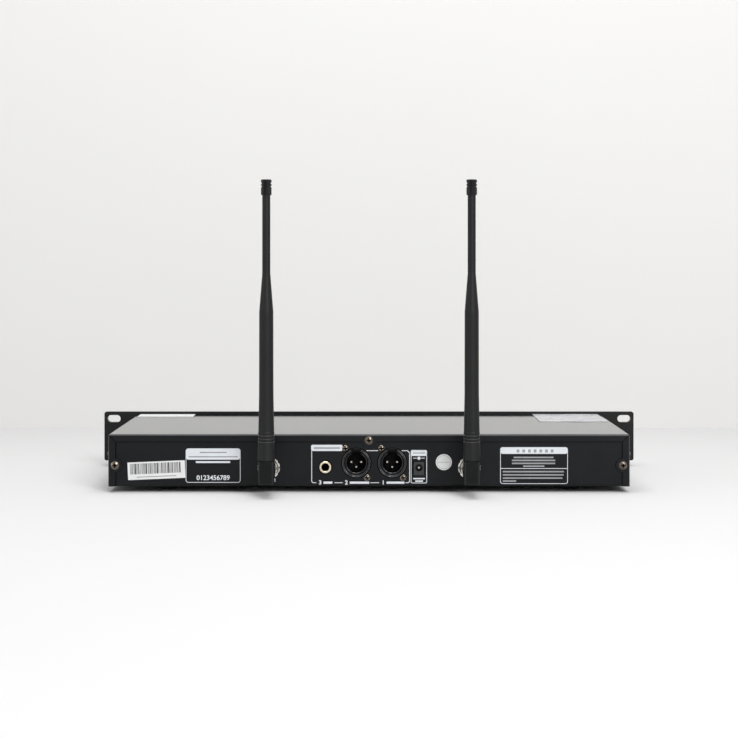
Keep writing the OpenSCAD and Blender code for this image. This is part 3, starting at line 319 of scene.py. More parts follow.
# Plain finishes: dark and light tone, range of roughness, scale and strength of the grain
GRAINED = {
    "foot_rubber": ((0.009, 0.009, 0.009), (0.014, 0.014, 0.014), (0.7, 0.85), 700.0, 0.3),
    "black_plastic": ((0.011, 0.011, 0.012), (0.016, 0.016, 0.017), (0.30, 0.40), 1200.0, 0.08),
    "socket_plastic": ((0.0045, 0.0045, 0.0054), (0.0063, 0.0063, 0.0072), (0.20, 0.26), 1200.0, 0.02),
    "socket_insert": ((0.0025, 0.0025, 0.0028), (0.0040, 0.0040, 0.0044), (0.55, 0.65), 900.0, 0.06),
    # Painted highlight: paler and glossier than socket_plastic, for the light lines on the shells' rims
    "socket_rim_highlight": ((0.018, 0.018, 0.020), (0.026, 0.026, 0.028), (0.06, 0.10), 1200.0, 0.02),
    "inlet_plastic": ((0.018, 0.019, 0.021), (0.027, 0.028, 0.030), (0.30, 0.40), 1100.0, 0.06),
    # Painted shadow: a near-black matt sheet laid where shade falls in seams, gaps and screw recesses
    "painted_shadow": ((0.0010, 0.0010, 0.0012), (0.0018, 0.0018, 0.0020), (0.85, 0.95), 900.0, 0.05),
    # Painted highlight: a pale tone for the rings where the collar ribs catch the light
    "rib_highlight": ((0.050, 0.051, 0.052), (0.070, 0.071, 0.072), (0.30, 0.40), 900.0, 0.04),
    "control_plastic": ((0.016, 0.016, 0.017), (0.022, 0.022, 0.023), (0.40, 0.50), 1100.0, 0.12),
    "white_insulator": ((0.70, 0.69, 0.65), (0.78, 0.77, 0.74), (0.40, 0.50), 500.0, 0.05),
    "lcd": ((0.020, 0.028, 0.026), (0.026, 0.036, 0.033), (0.12, 0.20), 200.0, 0.02),
    "coax_jacket": ((0.012, 0.012, 0.012), (0.018, 0.018, 0.018), (0.40, 0.50), 400.0, 0.10),
}
# The specular level of the plain finishes that differ from the usual one
GLOSS = {"socket_plastic": 0.10, "socket_insert": 0.10, "socket_rim_highlight": 1.0, "painted_shadow": 0.0}

# Printing inks: dark and light tone
INKS = {
    "white_ink": ((0.79, 0.83, 0.87), (0.85, 0.89, 0.93)),
    "grey_ink": ((0.30, 0.30, 0.31), (0.38, 0.38, 0.39)),
    "dark_ink": ((0.035, 0.035, 0.037), (0.055, 0.055, 0.057)),
}
INK_ROUGH = (0.45, 0.60)

# Metals: dark and light tone, range of roughness, then the lines of pressed or of turned pieces
PRESSED = (300.0, (1.0, 1.0, 1.0))
TURNED = (500.0, (1.0, 0.1, 1.0))
PLATED = {
    "steel_screws": ((0.165, 0.138, 0.115), (0.265, 0.228, 0.195), (0.10, 0.18), *PRESSED),
    "dull_screws": ((0.115, 0.094, 0.077), (0.185, 0.156, 0.132), (0.16, 0.26), *PRESSED),
    "nickel": ((0.46, 0.45, 0.42), (0.62, 0.61, 0.58), (0.08, 0.18), *TURNED),
    # Painted highlight: a paler copy of nickel for the washers
    "highlight_nickel": ((0.74, 0.72, 0.68), (0.90, 0.88, 0.84), (0.10, 0.20), *TURNED),
    "socket_pins": ((0.44, 0.40, 0.33), (0.56, 0.51, 0.43), (0.12, 0.22), *TURNED),
    "gold_brass": ((0.70, 0.59, 0.43), (0.84, 0.75, 0.60), (0.08, 0.18), *TURNED),
}

MATS = {}
for finish, row in GRAINED.items():
    MATS[finish] = grained(finish, *row, gloss=GLOSS.get(finish, PLAIN_GLOSS))
for finish, (dark, light) in INKS.items():
    MATS[finish] = grained(finish, dark, light, INK_ROUGH, 900.0, 0.08, tone=60.0)
for finish, row in PLATED.items():
    MATS[finish] = plated(finish, *row)
for make in (case_paint, panel_finish, antenna_sleeve, antenna_plastic, smoked_lens, lcd_mark,
             circuit_board, ribbon, paper, clear_film):
    MATS[make.__name__] = make()

# Nodes that look unlike the rest of their material slot
FINISHES = {
    "xlr_shell_a": "socket_plastic",
    "xlr_shell_b": "socket_plastic",
    "xlr_inserts": "socket_insert",
    "xlr_pins": "socket_pins",
    "mix_jack_body": "socket_plastic",
    "dc_jack_body": "inlet_plastic",
    # Painted shade and highlight: the BNC nuts take the darker screw finish for the shade behind the antenna
    # bases, and their washers a paler nickel for the light on them
    "bnc_nuts": "steel_screws",
    "bnc_washers": "highlight_nickel",
    "cover_rear_screws": "dull_screws",
    "hinge_pin_a": "antenna_plastic",
    "hinge_pin_b": "antenna_plastic",
}
for row in frame["record"]["subparts"]:
    mesh = nodes[row["node"]].data
    mesh.materials.clear()
    mesh.materials.append(MATS[FINISHES.get(row["node"], row["material_slot"])])


# Prints and stickers

# A place maps (u, v, w) onto the object: u to the right and v up as read, w out of the face.
# Measures on a place are in millimetres, and TO_METRES turns them into the scene's unit.
TURN = Matrix.Rotation(math.pi, 4, "Z")
STAND = Matrix.Rotation(math.pi / 2, 4, "X")
REAR = Matrix.Translation((0, REAR_Y, BOTTOM_Z)) @ TURN @ STAND
TOP = Matrix.Translation((0, REAR_FACE_Y, TOP_Z)) @ TURN
FRONT = Matrix.Translation((0, FRONT_Y, PANEL_MID_Z)) @ STAND
TO_METRES = Matrix.Scale(MM, 4)

# Steps along a rounded corner, an arc, and a small, usual or large circle
CORNER_STEPS = 6
ARC_STEPS = 24
SMALL_STEPS = 28
ROUND_STEPS = 48
LARGE_STEPS = 64
LEAST_CORNER = 0.2


def box_loop(u0, v0, u1, v1, r=0.0):
    """Corner points of a rectangle, rounded where r is over 0."""
    if r <= 0:
        return [(u0, v0), (u1, v0), (u1, v1), (u0, v1)]
    points = []
    centres = ((u1 - r, v1 - r), (u0 + r, v1 - r), (u0 + r, v0 + r), (u1 - r, v0 + r))
    for quarter, (u, v) in enumerate(centres):
        for i in range(CORNER_STEPS + 1):
            a = math.radians(90 * (quarter + i / CORNER_STEPS))
            points.append((u + r * math.cos(a), v + r * math.sin(a)))
    return points


def frame_loops(u0, v0, u1, v1, r, line):
    """A rectangle and the hole in it, which leave a line of the given width."""
    inner_r = max(r - line, LEAST_CORNER)
    return [box_loop(u0, v0, u1, v1, r), box_loop(u0 + line, v0 + line, u1 - line, v1 - line, inner_r)]


def bar_row(u, first, count, step, rise=0.0):
    """Bars side by side, each taller than the last by rise; first is the first bar, from u."""
    u0, v0, u1, v1 = first
    return [box_loop(u + u0 + step * i, v0, u + u1 + step * i, v1 + rise * i) for i in range(count)]


def round_loop(u, v, r, steps=ROUND_STEPS):
    angles = [2 * math.pi * i / steps for i in range(steps)]
    return [(u + r * math.cos(a), v + r * math.sin(a)) for a in angles]


def arc_loop(u, v, r, start, end, width):
    """An arc of the given width, as one closed outline; degrees from straight up, clockwise."""
    outer, inner = [], []
    for i in range(ARC_STEPS + 1):
        a = math.radians(90 - start - (end - start) * i / ARC_STEPS)
        outer.append((u + (r + width / 2) * math.cos(a), v + (r + width / 2) * math.sin(a)))
        inner.append((u + (r - width / 2) * math.cos(a), v + (r - width / 2) * math.sin(a)))
    return outer + inner[::-1]


def ray_loop(u, v, angle, r0, r1, width):
    """A short bar that points away from (u, v)."""
    a = math.radians(90 - angle)
    du, dv = math.cos(a), math.sin(a)
    ends = ((r0, width / 2), (r0, -width / 2), (r1, -width / 2), (r1, width / 2))
    return [(u + r * du - aside * dv, v + r * dv + aside * du) for r, aside in ends]


def cross_loop(u, v, length, width):
    """Outline of an upright cross."""
    far, near = length / 2, width / 2
    corners = ((near, near), (far, near), (far, -near), (near, -near), (near, -far), (-near, -far),
               (-near, -near), (-far, -near), (-far, near), (-near, near), (-near, far), (near, far))
    return [(u + du, v + dv) for du, dv in corners]


def add_piece(name, mesh, finish, body):
    """Puts a mesh into the scene as a piece that rides on a body."""
    mesh.materials.clear()
    mesh.materials.append(MATS[finish])
    piece = bpy.data.objects.new(name, mesh)
    scene.collection.objects.link(piece)
    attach(piece, body)
    return piece


def add_flat(name, data, place, finish, thick=INK, base=0.0, body="chassis", slot="case_paint"):
    """Turns a filled curve or text into a thin piece; base is how far out of the face it starts."""
    data.extrude = thick / 2
    maker = bpy.data.objects.new(name + "_outline", data)
    scene.collection.objects.link(maker)
    bpy.context.view_layer.update()
    filled = maker.evaluated_get(bpy.context.evaluated_depsgraph_get())
    mesh = bpy.data.meshes.new_from_object(filled)
    bpy.data.objects.remove(maker)
    bpy.data.curves.remove(data)
    mesh.name = name
    mesh.transform(place @ Matrix.Translation((0, 0, (base + thick / 2) * MM)) @ TO_METRES)
    return add_piece(name, mesh, finish, body)


def printed(name, loops, place, finish="white_ink", **how):
    """A flat shape from closed outlines; an outline inside another is a hole."""
    data = bpy.data.curves.new(name, "CURVE")
    data.dimensions = "2D"
    data.fill_mode = "BOTH"
    for loop in loops:
        spline = data.splines.new("POLY")
        spline.points.add(len(loop) - 1)
        for point, (u, v) in zip(spline.points, loop):
            point.co = (u, v, 0, 1)
        spline.use_cyclic_u = True
    return add_flat(name, data, place, finish, **how)


def numeral(name, text, u, v, size, place, finish="white_ink", bold=0.0, **how):
    """Plain digits round the middle (u, v)."""
    data = bpy.data.curves.new(name, "FONT")
    data.body = text
    data.size = size
    data.align_x = "CENTER"
    data.align_y = "CENTER"
    data.offset = bold
    return add_flat(name, data, place @ Matrix.Translation((u * MM, v * MM, 0)), finish, **how)


def rear_middle(node):
    """The middle of a node's box, as u and v on the rear wall."""
    low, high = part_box(node)
    return -(low.x + high.x) / 2 / MM, ((low.z + high.z) / 2 - BOTTOM_Z) / MM


# The cover's rear flanges: width, radius of the tongues round the screws, and the width of the painted shadow
# along the seam
FLANGE = 6.0
LOBE = 5.8
SHADOW_WIDTH = 0.5
TOP_SCREW_INSET = 4.8
SIDE_SCREW_INSET = 5.6
SIDE_SCREW_V = 17.1
flange_w = (REAR_FACE_Y - REAR_Y) / MM
flange_u = cover_high.x / MM
flange_v = (TOP_Z - BOTTOM_Z) / MM
edge_u = flange_u - FLANGE
edge_v = flange_v - FLANGE
top_screw_v = flange_v - TOP_SCREW_INSET
side_screw_u = flange_u - SIDE_SCREW_INSET

# Painted shadow: dark strips where the flanges lie on the rear wall, and along their mitres, for the shade at
# the flanges' edges
SHADOW_LOOK = {"place": REAR, "finish": "painted_shadow", "thick": SHADOW_THICK}
SEAM_FOOT = 0.3
MITRE_HALF = 0.15
MITRE_STOP = 1.0
top_cut = math.sqrt(LOBE ** 2 - (top_screw_v - edge_v) ** 2)
side_cut = math.sqrt(LOBE ** 2 - (side_screw_u - edge_u) ** 2)
side_dip = math.degrees(math.acos((side_screw_u - edge_u) / LOBE))
for side, name in ((-1, "left"), (1, "right")):
    low, high = sorted((side * top_cut, side * edge_u))
    printed("seam_shadow_top_" + name, [box_loop(low, edge_v - SHADOW_WIDTH, high, edge_v)], **SHADOW_LOOK)

    low, high = sorted((side * (edge_u - SHADOW_WIDTH), side * edge_u))
    below_screw = box_loop(low, SEAM_FOOT, high, SIDE_SCREW_V - side_cut)
    above_screw = box_loop(low, SIDE_SCREW_V + side_cut, high, edge_v)
    printed("seam_shadow_side_" + name, [below_screw, above_screw], **SHADOW_LOOK)

    middle = -side * 90
    tongue = arc_loop(side * side_screw_u, SIDE_SCREW_V, LOBE + SHADOW_WIDTH / 4,
                      middle - side_dip, middle + side_dip, SHADOW_WIDTH / 2)
    printed("seam_shadow_screw_" + name, [tongue], **SHADOW_LOOK)

    end_u = flange_u - MITRE_STOP
    end_v = flange_v - MITRE_STOP
    mitre = [(edge_u + MITRE_HALF, edge_v - MITRE_HALF), (edge_u - MITRE_HALF, edge_v + MITRE_HALF),
             (end_u - MITRE_HALF, end_v + MITRE_HALF), (end_u + MITRE_HALF, end_v - MITRE_HALF)]
    printed("seam_shadow_mitre_" + name, [[(side * u, v) for u, v in mitre]], base=flange_w, **SHADOW_LOOK)

# Data panels: a frame with a filled header band, and grey marks printed over white
PANEL_LINE = 0.45
HEADER_INSET = 0.4
HEADER_TRIM = 0.5
OVER_LOOK = {"place": REAR, "finish": "grey_ink", "thick": OVERPRINT, "base": INK}


def data_panel(name, u0, v0, u1, v1, corner, header_foot):
    """The frame of a data panel and its header band."""
    printed(name, frame_loops(u0, v0, u1, v1, corner, PANEL_LINE), REAR)
    header = (u0 + HEADER_INSET, header_foot, u1 - HEADER_INSET, v1 - HEADER_INSET)
    printed(name + "_header", [box_loop(*header, corner - HEADER_TRIM)], REAR)


# Left data panel: blank rules and plain numbers
LEFT_PANEL = (-148.2, 3.0, -103.9, 30.7)
LEFT_CORNER = 2.2
LEFT_HEADER_FOOT = 21.6
LEFT_BLANKS = ((-136.9, 27.0, -115.2, 27.9), (-145.9, 23.5, -106.2, 24.4))
LEFT_RULE = (-140.0, 18.9, -112.3, 20.4)
LEFT_NUMBERS_U = -126.0
LEFT_NUMBERS_V = 6.8
LEFT_NUMBERS_SIZE = 5.4
data_panel("print_panel_left", *LEFT_PANEL, LEFT_CORNER, LEFT_HEADER_FOOT)
printed("print_panel_left_blanks", [box_loop(*blank) for blank in LEFT_BLANKS], **OVER_LOOK)
printed("print_panel_left_rule", [box_loop(*LEFT_RULE)], REAR)
numeral("print_panel_left_numbers", "0123456789", LEFT_NUMBERS_U, LEFT_NUMBERS_V, LEFT_NUMBERS_SIZE,
        REAR, bold=0.09)

# Right data panel: a row of blanks in the header, a rule, and blank lines given by u0, u1 and v
RIGHT_PANEL = (106.1, 2.0, 160.8, 31.7)
RIGHT_CORNER = 2.0
RIGHT_HEADER_FOOT = 26.3
RIGHT_BLANK = (119.4, 27.4, 121.6, 29.8)
RIGHT_BLANK_COUNT = 7
RIGHT_BLANK_STEP = 4.6
RIGHT_RULE = (106.5, 14.2, 160.4, 14.7)
RIGHT_LINE = 1.2
RIGHT_LINES = (
    (117.0, 149.2, 22.8), (115.6, 150.6, 20.4), (115.6, 150.6, 18.0), (124.6, 141.8, 15.7),
    (108.2, 157.6, 11.3), (108.2, 157.4, 8.7), (108.2, 156.4, 6.1), (108.2, 119.0, 3.7))
data_panel("print_panel_right", *RIGHT_PANEL, RIGHT_CORNER, RIGHT_HEADER_FOOT)
blanks = bar_row(0.0, RIGHT_BLANK, RIGHT_BLANK_COUNT, RIGHT_BLANK_STEP)
printed("print_panel_right_blanks", blanks, **OVER_LOOK)
printed("print_panel_right_rule", [box_loop(*RIGHT_RULE)], REAR)
lines = [box_loop(left, foot, right, foot + RIGHT_LINE) for left, right, foot in RIGHT_LINES]
printed("print_panel_right_lines", lines, REAR, "grey_ink")

# Frame round the audio outputs, broken where the sockets and their numbers are
LINE = 0.55
AUDIO_LEFT = -46.6
AUDIO_RIGHT = 33.1
AUDIO_FOOT = 2.7
AUDIO_TOP = 28.6
AUDIO_HEADER = (-46.8, AUDIO_TOP, -21.4, 33.6)
AUDIO_HEADER_CORNER = 1.2
AUDIO_BLANK = (-44.6, 30.4, -23.4, 31.6)
AUDIO_DASHES = (
    ("top", -2.1, 7.4, AUDIO_TOP), ("low_a", 1.2, 8.2, AUDIO_FOOT), ("low_b", -27.9, -21.2, AUDIO_FOOT))
foot_line = AUDIO_FOOT + LINE
top_line = AUDIO_TOP + LINE
printed("print_audio_header", [box_loop(*AUDIO_HEADER, AUDIO_HEADER_CORNER)], REAR)
printed("print_audio_blank", [box_loop(*AUDIO_BLANK)], **OVER_LOOK)
printed("print_audio_left", [[
    (AUDIO_LEFT, AUDIO_TOP), (AUDIO_LEFT, AUDIO_FOOT + 1.5), (AUDIO_LEFT + 0.4, AUDIO_FOOT + 0.4),
    (AUDIO_LEFT + 1.4, AUDIO_FOOT), (AUDIO_LEFT + 4.0, AUDIO_FOOT), (AUDIO_LEFT + 4.0, foot_line),
    (AUDIO_LEFT + 1.6, foot_line), (AUDIO_LEFT + 0.9, AUDIO_FOOT + 0.8),
    (AUDIO_LEFT + LINE, AUDIO_FOOT + 1.6), (AUDIO_LEFT + LINE, AUDIO_TOP)]], REAR)
printed("print_audio_right", [[
    (AUDIO_RIGHT - 6.7, AUDIO_TOP), (AUDIO_RIGHT - 2.4, AUDIO_TOP), (AUDIO_RIGHT - 1.6, AUDIO_TOP - 0.5),
    (AUDIO_RIGHT - LINE, AUDIO_TOP - 1.9), (AUDIO_RIGHT - LINE, AUDIO_FOOT + 1.8),
    (AUDIO_RIGHT - 1.0, AUDIO_FOOT + 0.8), (AUDIO_RIGHT - 1.8, foot_line), (AUDIO_RIGHT - 3.7, foot_line),
    (AUDIO_RIGHT - 3.7, AUDIO_FOOT), (AUDIO_RIGHT - 1.5, AUDIO_FOOT), (AUDIO_RIGHT - 0.4, AUDIO_FOOT + 0.5),
    (AUDIO_RIGHT, AUDIO_FOOT + 1.7), (AUDIO_RIGHT, AUDIO_TOP - 1.7), (AUDIO_RIGHT - 1.2, AUDIO_TOP + 0.1),
    (AUDIO_RIGHT - 2.1, top_line), (AUDIO_RIGHT - 6.7, top_line)]], REAR)
for name, left, right, foot in AUDIO_DASHES:
    printed("print_audio_" + name, [box_loop(left, foot, right, foot + LINE)], REAR)

# Output numbers, each with a blank bar, and antenna numbers
OUTPUTS = (("3", -41.0, -29.6), ("2", -19.8, 0.2), ("1", 10.0, 28.6))
OUTPUT_V = 3.0
OUTPUT_SIZE = 4.6
OUTPUT_INSET = 1.5
BAR_INSET = 4.2
BAR_HALF = 0.9
for number, left, right in OUTPUTS:
    bar = box_loop(left + BAR_INSET, OUTPUT_V - BAR_HALF, right, OUTPUT_V + BAR_HALF)
    printed("print_output_blank_" + number, [bar], REAR)
    numeral("print_output_" + number, number, left + OUTPUT_INSET, OUTPUT_V, OUTPUT_SIZE, REAR, bold=0.16)
ANTENNA_NUMBERS = (("1", 85.4), ("2", -76.5))
ANTENNA_NUMBER_V = 5.1
ANTENNA_NUMBER_SIZE = 3.6
for number, u in ANTENNA_NUMBERS:
    numeral("print_antenna_" + number, number, u, ANTENNA_NUMBER_V, ANTENNA_NUMBER_SIZE, REAR, bold=0.12)

# Power inlet: frame, header, a polarity mark of a dot between two short lines, and two blank lines
POWER_FRAME = (33.8, 2.5, 46.9, 29.4)
POWER_FRAME_CORNER = 1.2
POWER_FRAME_LINE = 0.5
POWER_HEADER = (34.2, 24.6, 46.5, 29.0)
POWER_HEADER_CORNER = 0.9
POWER_HEADER_BLANK = (35.4, 26.6, 45.4, 27.4)
POWER_BLANKS = ((35.8, 5.7, 45.2, 6.8), (37.4, 3.7, 43.6, 4.8))
POLARITY_V = 22.8
POLARITY_HALF = 0.25
POLARITY_DOT = 1.3
POLARITY_NEAR = 1.8
POLARITY_FAR = 4.7
inlet_u = rear_middle("dc_jack_body")[0]
printed("print_power_frame", frame_loops(*POWER_FRAME, POWER_FRAME_CORNER, POWER_FRAME_LINE), REAR)
printed("print_power_header", [box_loop(*POWER_HEADER, POWER_HEADER_CORNER)], REAR)
printed("print_power_header_blank", [box_loop(*POWER_HEADER_BLANK)], **OVER_LOOK)
printed("print_polarity_dot", [round_loop(inlet_u, POLARITY_V, POLARITY_DOT, SMALL_STEPS)], REAR)
printed("print_polarity_lines", [
    box_loop(inlet_u + near, POLARITY_V - POLARITY_HALF, inlet_u + far, POLARITY_V + POLARITY_HALF)
    for near, far in ((-POLARITY_FAR, -POLARITY_NEAR), (POLARITY_NEAR, POLARITY_FAR))], REAR)
printed("print_power_blanks", [box_loop(*blank) for blank in POWER_BLANKS], REAR)

# Painted shade in the recesses of the rear screws, as dark crosses: head height, depth, thickness and size of
# the cross
HEAD = 1.7
SUNK = 1.1
RECESS = 0.5
CROSS_LENGTH = 3.46
CROSS_WIDTH = 1.06
SOCKET_SCREW_U = 8.75
SOCKET_SCREW_V = 11.9
sockets = [(channel, *rear_middle("xlr_shell_" + channel)) for channel in "ab"]
driven = [(0.0, top_screw_v, flange_w), (side_screw_u, SIDE_SCREW_V, flange_w),
          (-side_screw_u, SIDE_SCREW_V, flange_w)]
for channel, u, v in sockets:
    driven.append((u - SOCKET_SCREW_U, v + SOCKET_SCREW_V, 0.0))
    driven.append((u + SOCKET_SCREW_U, v - SOCKET_SCREW_V, 0.0))
for i, (u, v, w) in enumerate(driven):
    printed("screw_recess_shade_" + str(i), [cross_loop(u, v, CROSS_LENGTH, CROSS_WIDTH)], REAR, "painted_shadow",
            thick=RECESS, base=w + HEAD - SUNK, slot="steel_screws")


# Round sockets and antenna collars

def bead(name, u, v, w, r, half, gap):
    """A half-round rib along an arc on the rear wall; gap is the open angle at the top on each side."""
    turns, around = 72, 6
    verts, faces = [], []
    for i in range(turns + 1):
        a = math.radians(90 - gap - (360 - 2 * gap) * i / turns)
        for j in range(around + 1):
            b = math.pi * j / around
            out = r + half * math.cos(b)
            point = Vector((u + out * math.cos(a), v + out * math.sin(a), w + half * math.sin(b)))
            verts.append(REAR @ (point * MM))
    ring = around + 1
    for i in range(turns):
        for j in range(around):
            k = i * ring + j
            faces.append((k, k + 1, k + ring + 1, k + ring))
        faces.append((i * ring, (i + 1) * ring, (i + 1) * ring + around, i * ring + around))
    faces.append(tuple(range(ring)))
    faces.append(tuple(turns * ring + j for j in reversed(range(ring))))
    mesh = bpy.data.meshes.new(name)
    mesh.from_pydata(verts, [], faces)
    # The bead's paler plastic is a painted highlight
    return add_piece(name, mesh, "socket_rim_highlight", "chassis")


def hoop(name, centre, r, half, body):
    """A thin pale ring that lies level round an antenna, a painted highlight."""
    turns, around = 64, 8
    verts, faces = [], []
    for i in range(turns):
        a = 2 * math.pi * i / turns
        for j in range(around):
            b = 2 * math.pi * j / around
            out = r + half * math.cos(b)
            verts.append(centre + Vector((out * math.cos(a), out * math.sin(a), half * math.sin(b))) * MM)
    for i in range(turns):
        for j in range(around):
            n, k = (i + 1) % turns, (j + 1) % around
            faces.append((i * around + j, n * around + j, n * around + k, i * around + k))
    mesh = bpy.data.meshes.new(name)
    mesh.from_pydata(verts, [], faces)
    mesh.shade_smooth()
    return add_piece(name, mesh, "rib_highlight", body)


# Moulded beads on the shells' rims, broken at the key notch, in a paler and glossier plastic than the shells:
# a painted highlight along the rims
# Each row: how far out of the wall, radius, half width, and open angle in degrees
PROUD = 1.2
BEADS = (
    ("outer", PROUD, 11.2, 0.28, 20.5),
    ("inner", PROUD, 10.25, 0.25, 22.5),
    ("bore", 0.1, 8.35, 0.28, 28.0),
)
# Painted shadow: a dark ring round each shell, for the shade in the gap to the wall; outer and inner radius
SHELL_SHADOW = (12.3, 11.82)
for channel, u, v in sockets:
    for name, w, r, half, gap in BEADS:
        bead("socket_bead_highlight_" + name + "_" + channel, u, v, w, r, half, gap)
    shadow_loops = [round_loop(u, v, r, LARGE_STEPS) for r in SHELL_SHADOW]
    printed("socket_gap_shadow_" + channel, shadow_loops, **SHADOW_LOOK)

# Pale rings round the antenna collars at the ribs, a painted highlight where the rib edges catch the light:
# height above the hinge pin, and radius
COLLAR_RIB_HIGHLIGHTS = ((24.7, 6.50), (27.2, 6.30), (29.7, 6.30))
RIB_HIGHLIGHT_HALF = 0.22
for channel in "ab":
    pin_low, pin_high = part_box("hinge_pin_" + channel)
    pin = (pin_low + pin_high) / 2
    for i, (up, r) in enumerate(COLLAR_RIB_HIGHLIGHTS):
        centre = pin + Vector((0, 0, up * MM))
        hoop("collar_rib_highlight_" + channel + str(i), centre, r, RIB_HIGHLIGHT_HALF, "whip_" + channel)

# Tilted paper sticker with a plain bar pattern: the bars' widths and gaps repeat in a shifting order,
# and no bar starts past LAST_BAR or goes past BARS_END
STICKER_U = -171.9
STICKER_V = 13.1
STICKER_TURN = math.radians(2.4)
STICKER_CORNER = 0.5
TILT = REAR @ Matrix.Translation((STICKER_U * MM, STICKER_V * MM, 0)) @ Matrix.Rotation(STICKER_TURN, 4, "Z")
STICKER_HALF_U = 23.2
STICKER_HALF_V = 7.1
BARS_START = -21.2
BARS_END = 19.6
LAST_BAR = 19.4
BARS_FOOT = -2.6
BARS_TOP = 5.9
BAR_WIDTHS = (0.35, 0.7, 0.35, 1.05, 0.5, 0.35)
BAR_GAPS = (0.5, 0.35, 0.75, 0.4)
STICKER_RULE = (-16.0, -5.3, 16.0, -4.7)
sheet = box_loop(-STICKER_HALF_U, -STICKER_HALF_V, STICKER_HALF_U, STICKER_HALF_V, STICKER_CORNER)
printed("sticker_bars_paper", [sheet], TILT, "paper", thick=PAPER)
bars = []
u = BARS_START
while u < LAST_BAR:
    count = len(bars)
    width = BAR_WIDTHS[(count * 5 + count // 3) % len(BAR_WIDTHS)]
    gap = BAR_GAPS[(count * 3 + count // 4) % len(BAR_GAPS)]
    bars.append(box_loop(u, BARS_FOOT, min(u + width, BARS_END), BARS_TOP))
    u += width + gap
printed("sticker_bars_ink", bars, TILT, "dark_ink", base=PAPER)
printed("sticker_bars_base", [box_loop(*STICKER_RULE)], TILT, "grey_ink", base=PAPER)

# Round sticker with a thin ring and a line across
ROUND_AT = (60.5, 19.6)
ROUND_R = 6.5
ROUND_RING = (5.55, 5.3)
ROUND_LINE = (55.3, 19.4, 65.7, 19.7)
printed("sticker_round_paper", [round_loop(*ROUND_AT, ROUND_R)], REAR, "paper", thick=PAPER)
round_lines = [box_loop(*ROUND_LINE)] + [round_loop(*ROUND_AT, r) for r in ROUND_RING]
printed("sticker_round_line", round_lines, REAR, "grey_ink", base=PAPER)

# Stickers near the front corners of the cover
COVER_PAPER = (-208.0, 151.0, -158.0, 174.0)
COVER_PAPER_CORNER = 0.8
COVER_FILM = (148.5, 103.0, 208.0, 174.0)
FILM_THICK = 0.06
FILM_LIFT = 0.10
FILM_WAVE = 0.09
FILM_EDGE_WAVE = 0.9
FILM_EDGE_RIPPLE = 0.5
printed("sticker_cover_paper", [box_loop(*COVER_PAPER, COVER_PAPER_CORNER)], TOP, "paper", thick=PAPER)


def film(name, u0, v0, u1, v1):
    """A thin film on the cover, with a wavy surface and an uneven near edge."""
    nu, nv = 48, 40
    verts, faces = [], []
    for j in range(nv + 1):
        for i in range(nu + 1):
            s, t = i / nu, j / nv
            u = u0 + (u1 - u0) * s
            v = v0 + (v1 - v0) * t
            v += (1 - t) * (FILM_EDGE_WAVE * math.sin(7.0 * s + 0.6) + FILM_EDGE_RIPPLE * math.sin(17.0 * s))
            w = FILM_LIFT + FILM_WAVE * (1 + math.sin(9.0 * s + 5.0 * t) * math.sin(6.0 * t - 3.0 * s))
            verts.append(TOP @ (Vector((u, v, w)) * MM))
    row = nu + 1
    for j in range(nv):
        for i in range(nu):
            k = j * row + i
            faces.append((k, k + 1, k + row + 1, k + row))
    mesh = bpy.data.meshes.new(name)
    mesh.from_pydata(verts, [], faces)
    mesh.shade_smooth()
    piece = add_piece(name, mesh, "clear_film", "chassis")
    sheet = piece.modifiers.new("thickness", "SOLIDIFY")
    sheet.thickness = FILM_THICK * MM
    sheet.offset = 1.0
    return piece


film("film_cover", *COVER_FILM)


# Front panel

def centre_u(node):
    """The middle of a node's box, as u on the front panel."""
    low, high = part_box(node)
    return (low.x + high.x) / 2 / MM


def reach(node):
    """How far a node stands out of the panel's front, in millimetres."""
    low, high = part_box(node)
    return (FRONT_Y - low.y) / MM


PANEL_LOOK = {"place": FRONT, "slot": "panel_finish"}
LIT_LOOK = {"place": FRONT, "finish": "lcd_mark", "base": reach("lcd_modules"), "slot": "lcd"}

# Group frames: past the knob, past the buttons, half height, corner and line
GROUP_LEFT = 19.5
GROUP_RIGHT = 10.5
GROUP_HALF = 19.6
GROUP_CORNER = 1.8
GROUP_LINE = 0.35

# Dials: marks every 30 degrees over the knob's travel, longer at each end and in the middle
DIAL_MARKS = 11
DIAL_STEP = 30
DIAL_START = -150
MARK_NEAR = 10.6
MARK_FAR = 12.0
LONG_MARK_FAR = 12.7
MARK_WIDTH = 0.4
DIAL_NUMBER_R = 14.7
DIAL_NUMBER_SIZE = 2.5

# The knob's pointer lies in the groove of its face
POINTER_HALF = 0.5
POINTER_NEAR = 2.5
POINTER_FAR = 6.6
POINTER_DEPTH = 0.5

# From a knob to the middle of its display, and the lit marks from there
DISPLAY_OFFSET = 62.0
CHANNEL_U = -31.0
CHANNEL_V = 1.0
CHANNEL_SIZE = 13.0
DIGITS_U = -8.0
DIGITS_V = 2.6
DIGITS_SIZE = 12.0
DISPLAY_RULE = (-24.2, -9.0, -23.9, 9.0)
LEVEL = (6.0, -1.4, 7.9, 0.6)
LEVEL_COUNT = 9
LEVEL_STEP = 2.9
LEVEL_RISE = 0.75
BASE = (-20.5, -8.2, -18.6, -5.6)
BASE_COUNT = 20
BASE_STEP = 2.6

# Buttons stand in a column this far apart; arrows by half width, foot and tip
BUTTON_PITCH = 11.0
BUTTON_RING = (1.5, 1.05)
ARROW_HALF = 1.7
ARROW_FOOT = 1.1
ARROW_TIP = 1.5


